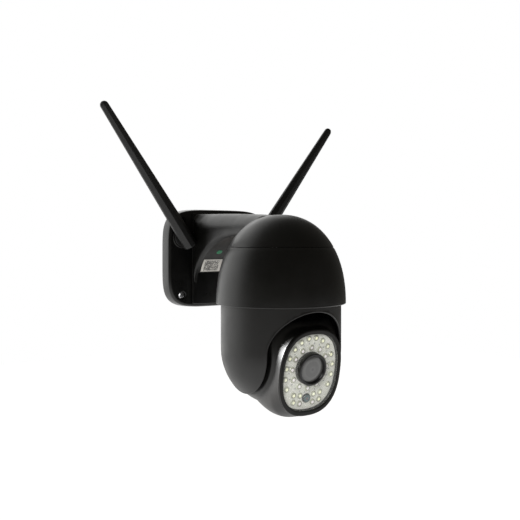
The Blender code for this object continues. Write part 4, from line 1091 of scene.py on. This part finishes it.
def area_light(name, at, aim, size, power, receivers=()):
    """A softbox that faces aim. With receivers, it lights only the pieces of those names."""
    lamp = bpy.data.lights.new(name, "AREA")
    lamp.shape = "RECTANGLE"
    lamp.size, lamp.size_y = size
    lamp.energy = power
    obj = bpy.data.objects.new(name, lamp)
    bpy.context.scene.collection.objects.link(obj)
    obj.location = at
    obj.rotation_euler = (Vector(aim) - Vector(at)).to_track_quat("-Z", "Y").to_euler()
    if receivers:
        lit = bpy.data.collections.new(f"lit_by_{name}")
        for receiver in receivers:
            lit.objects.link(bpy.data.objects[receiver])
        obj.light_linking.receiver_collection = lit
    return obj


def make_studio():
    scene = bpy.context.scene
    scene.view_settings.view_transform = "Standard"
    camera = bpy.data.objects.new("camera", bpy.data.cameras.new("camera"))
    scene.collection.objects.link(camera)
    camera.location = (-0.3837, -0.7082, 0.0234)
    camera.rotation_euler = (math.radians(90), 0, math.radians(-33.8))
    camera.data.lens = 49.85
    camera.data.shift_x, camera.data.shift_y = -0.0404, -0.045
    scene.camera = camera

    floor_bm = bmesh.new()
    bmesh.ops.create_grid(floor_bm, x_segments=1, y_segments=1, size=1.2)
    mesh = bpy.data.meshes.new("floor")
    floor_bm.to_mesh(mesh)
    floor_bm.free()
    floor = bpy.data.objects.new("floor", mesh)
    floor.location.z = CAD_BOX[0].z - 0.16
    scene.collection.objects.link(floor)
    paint = moulded("pale_floor", (0.86, 0.86, 0.85), (0.9, 0.9, 0.9), 0.7, 0.02)
    shader = paint.node_tree.nodes["Principled BSDF"]
    shader.inputs["Emission Color"].default_value = (1, 1, 1, 1)
    shader.inputs["Emission Strength"].default_value = 0.78
    floor.data.materials.append(paint)

    # The backdrop behind the object is bright and the room behind the camera is dark, so the black
    # shells stay black in front and take their light along their edges.
    world = bpy.data.worlds.new("studio")
    scene.world = world
    world.use_nodes = True
    tree = world.node_tree
    background = tree.nodes["Background"]
    direction = add(tree, "ShaderNodeTexCoord").outputs["Generated"]
    dark_end = Vector((0.25, -1.0, 0.0)).normalized()
    toward = add(tree, "ShaderNodeVectorMath", {0: direction, 1: tuple(dark_end)}, operation="DOT_PRODUCT")
    share = add(tree, "ShaderNodeMapRange", {"Value": toward.outputs["Value"], "From Min": -1.0, "From Max": 1.0})
    room = ramp(tree, share.outputs["Result"],
                ((0.0, BACKDROP), (0.12, BACKDROP), (0.3, ROOM_SIDE), (0.7, ROOM_DARK)))
    seen = add(tree, "ShaderNodeLightPath").outputs["Is Camera Ray"]
    tree.links.new(mix(tree, seen, room, (1, 1, 1)), background.inputs["Color"])

    shells = ["head_front_shell_smooth", "head_rear_shell_smooth"]
    area_light("head_light", (-0.8, 0.46, 0.26), low("head_front_shell"), (0.6, 0.5), 85, shells)
    pale = [obj.name for obj in frame["bodies"]["head"].children if obj.name.startswith(PALE_PIECES)]
    pale += ["rating_label_curved", "inspection_sticker", "led_board", "plate_screw_lower_left"]
    area_light("face_light", (-0.9, -1.0, 0.45), (0, PAN_Y, -0.08), (0.5, 0.5), 22, pale)


make_wall_plate()
make_cable_gland()
make_aerials()
make_dome()
make_arm_cover()
make_housing()
make_head_shells()
make_bezel()
make_lamps()
make_window()
make_lens()
finish_cad()
make_studio()
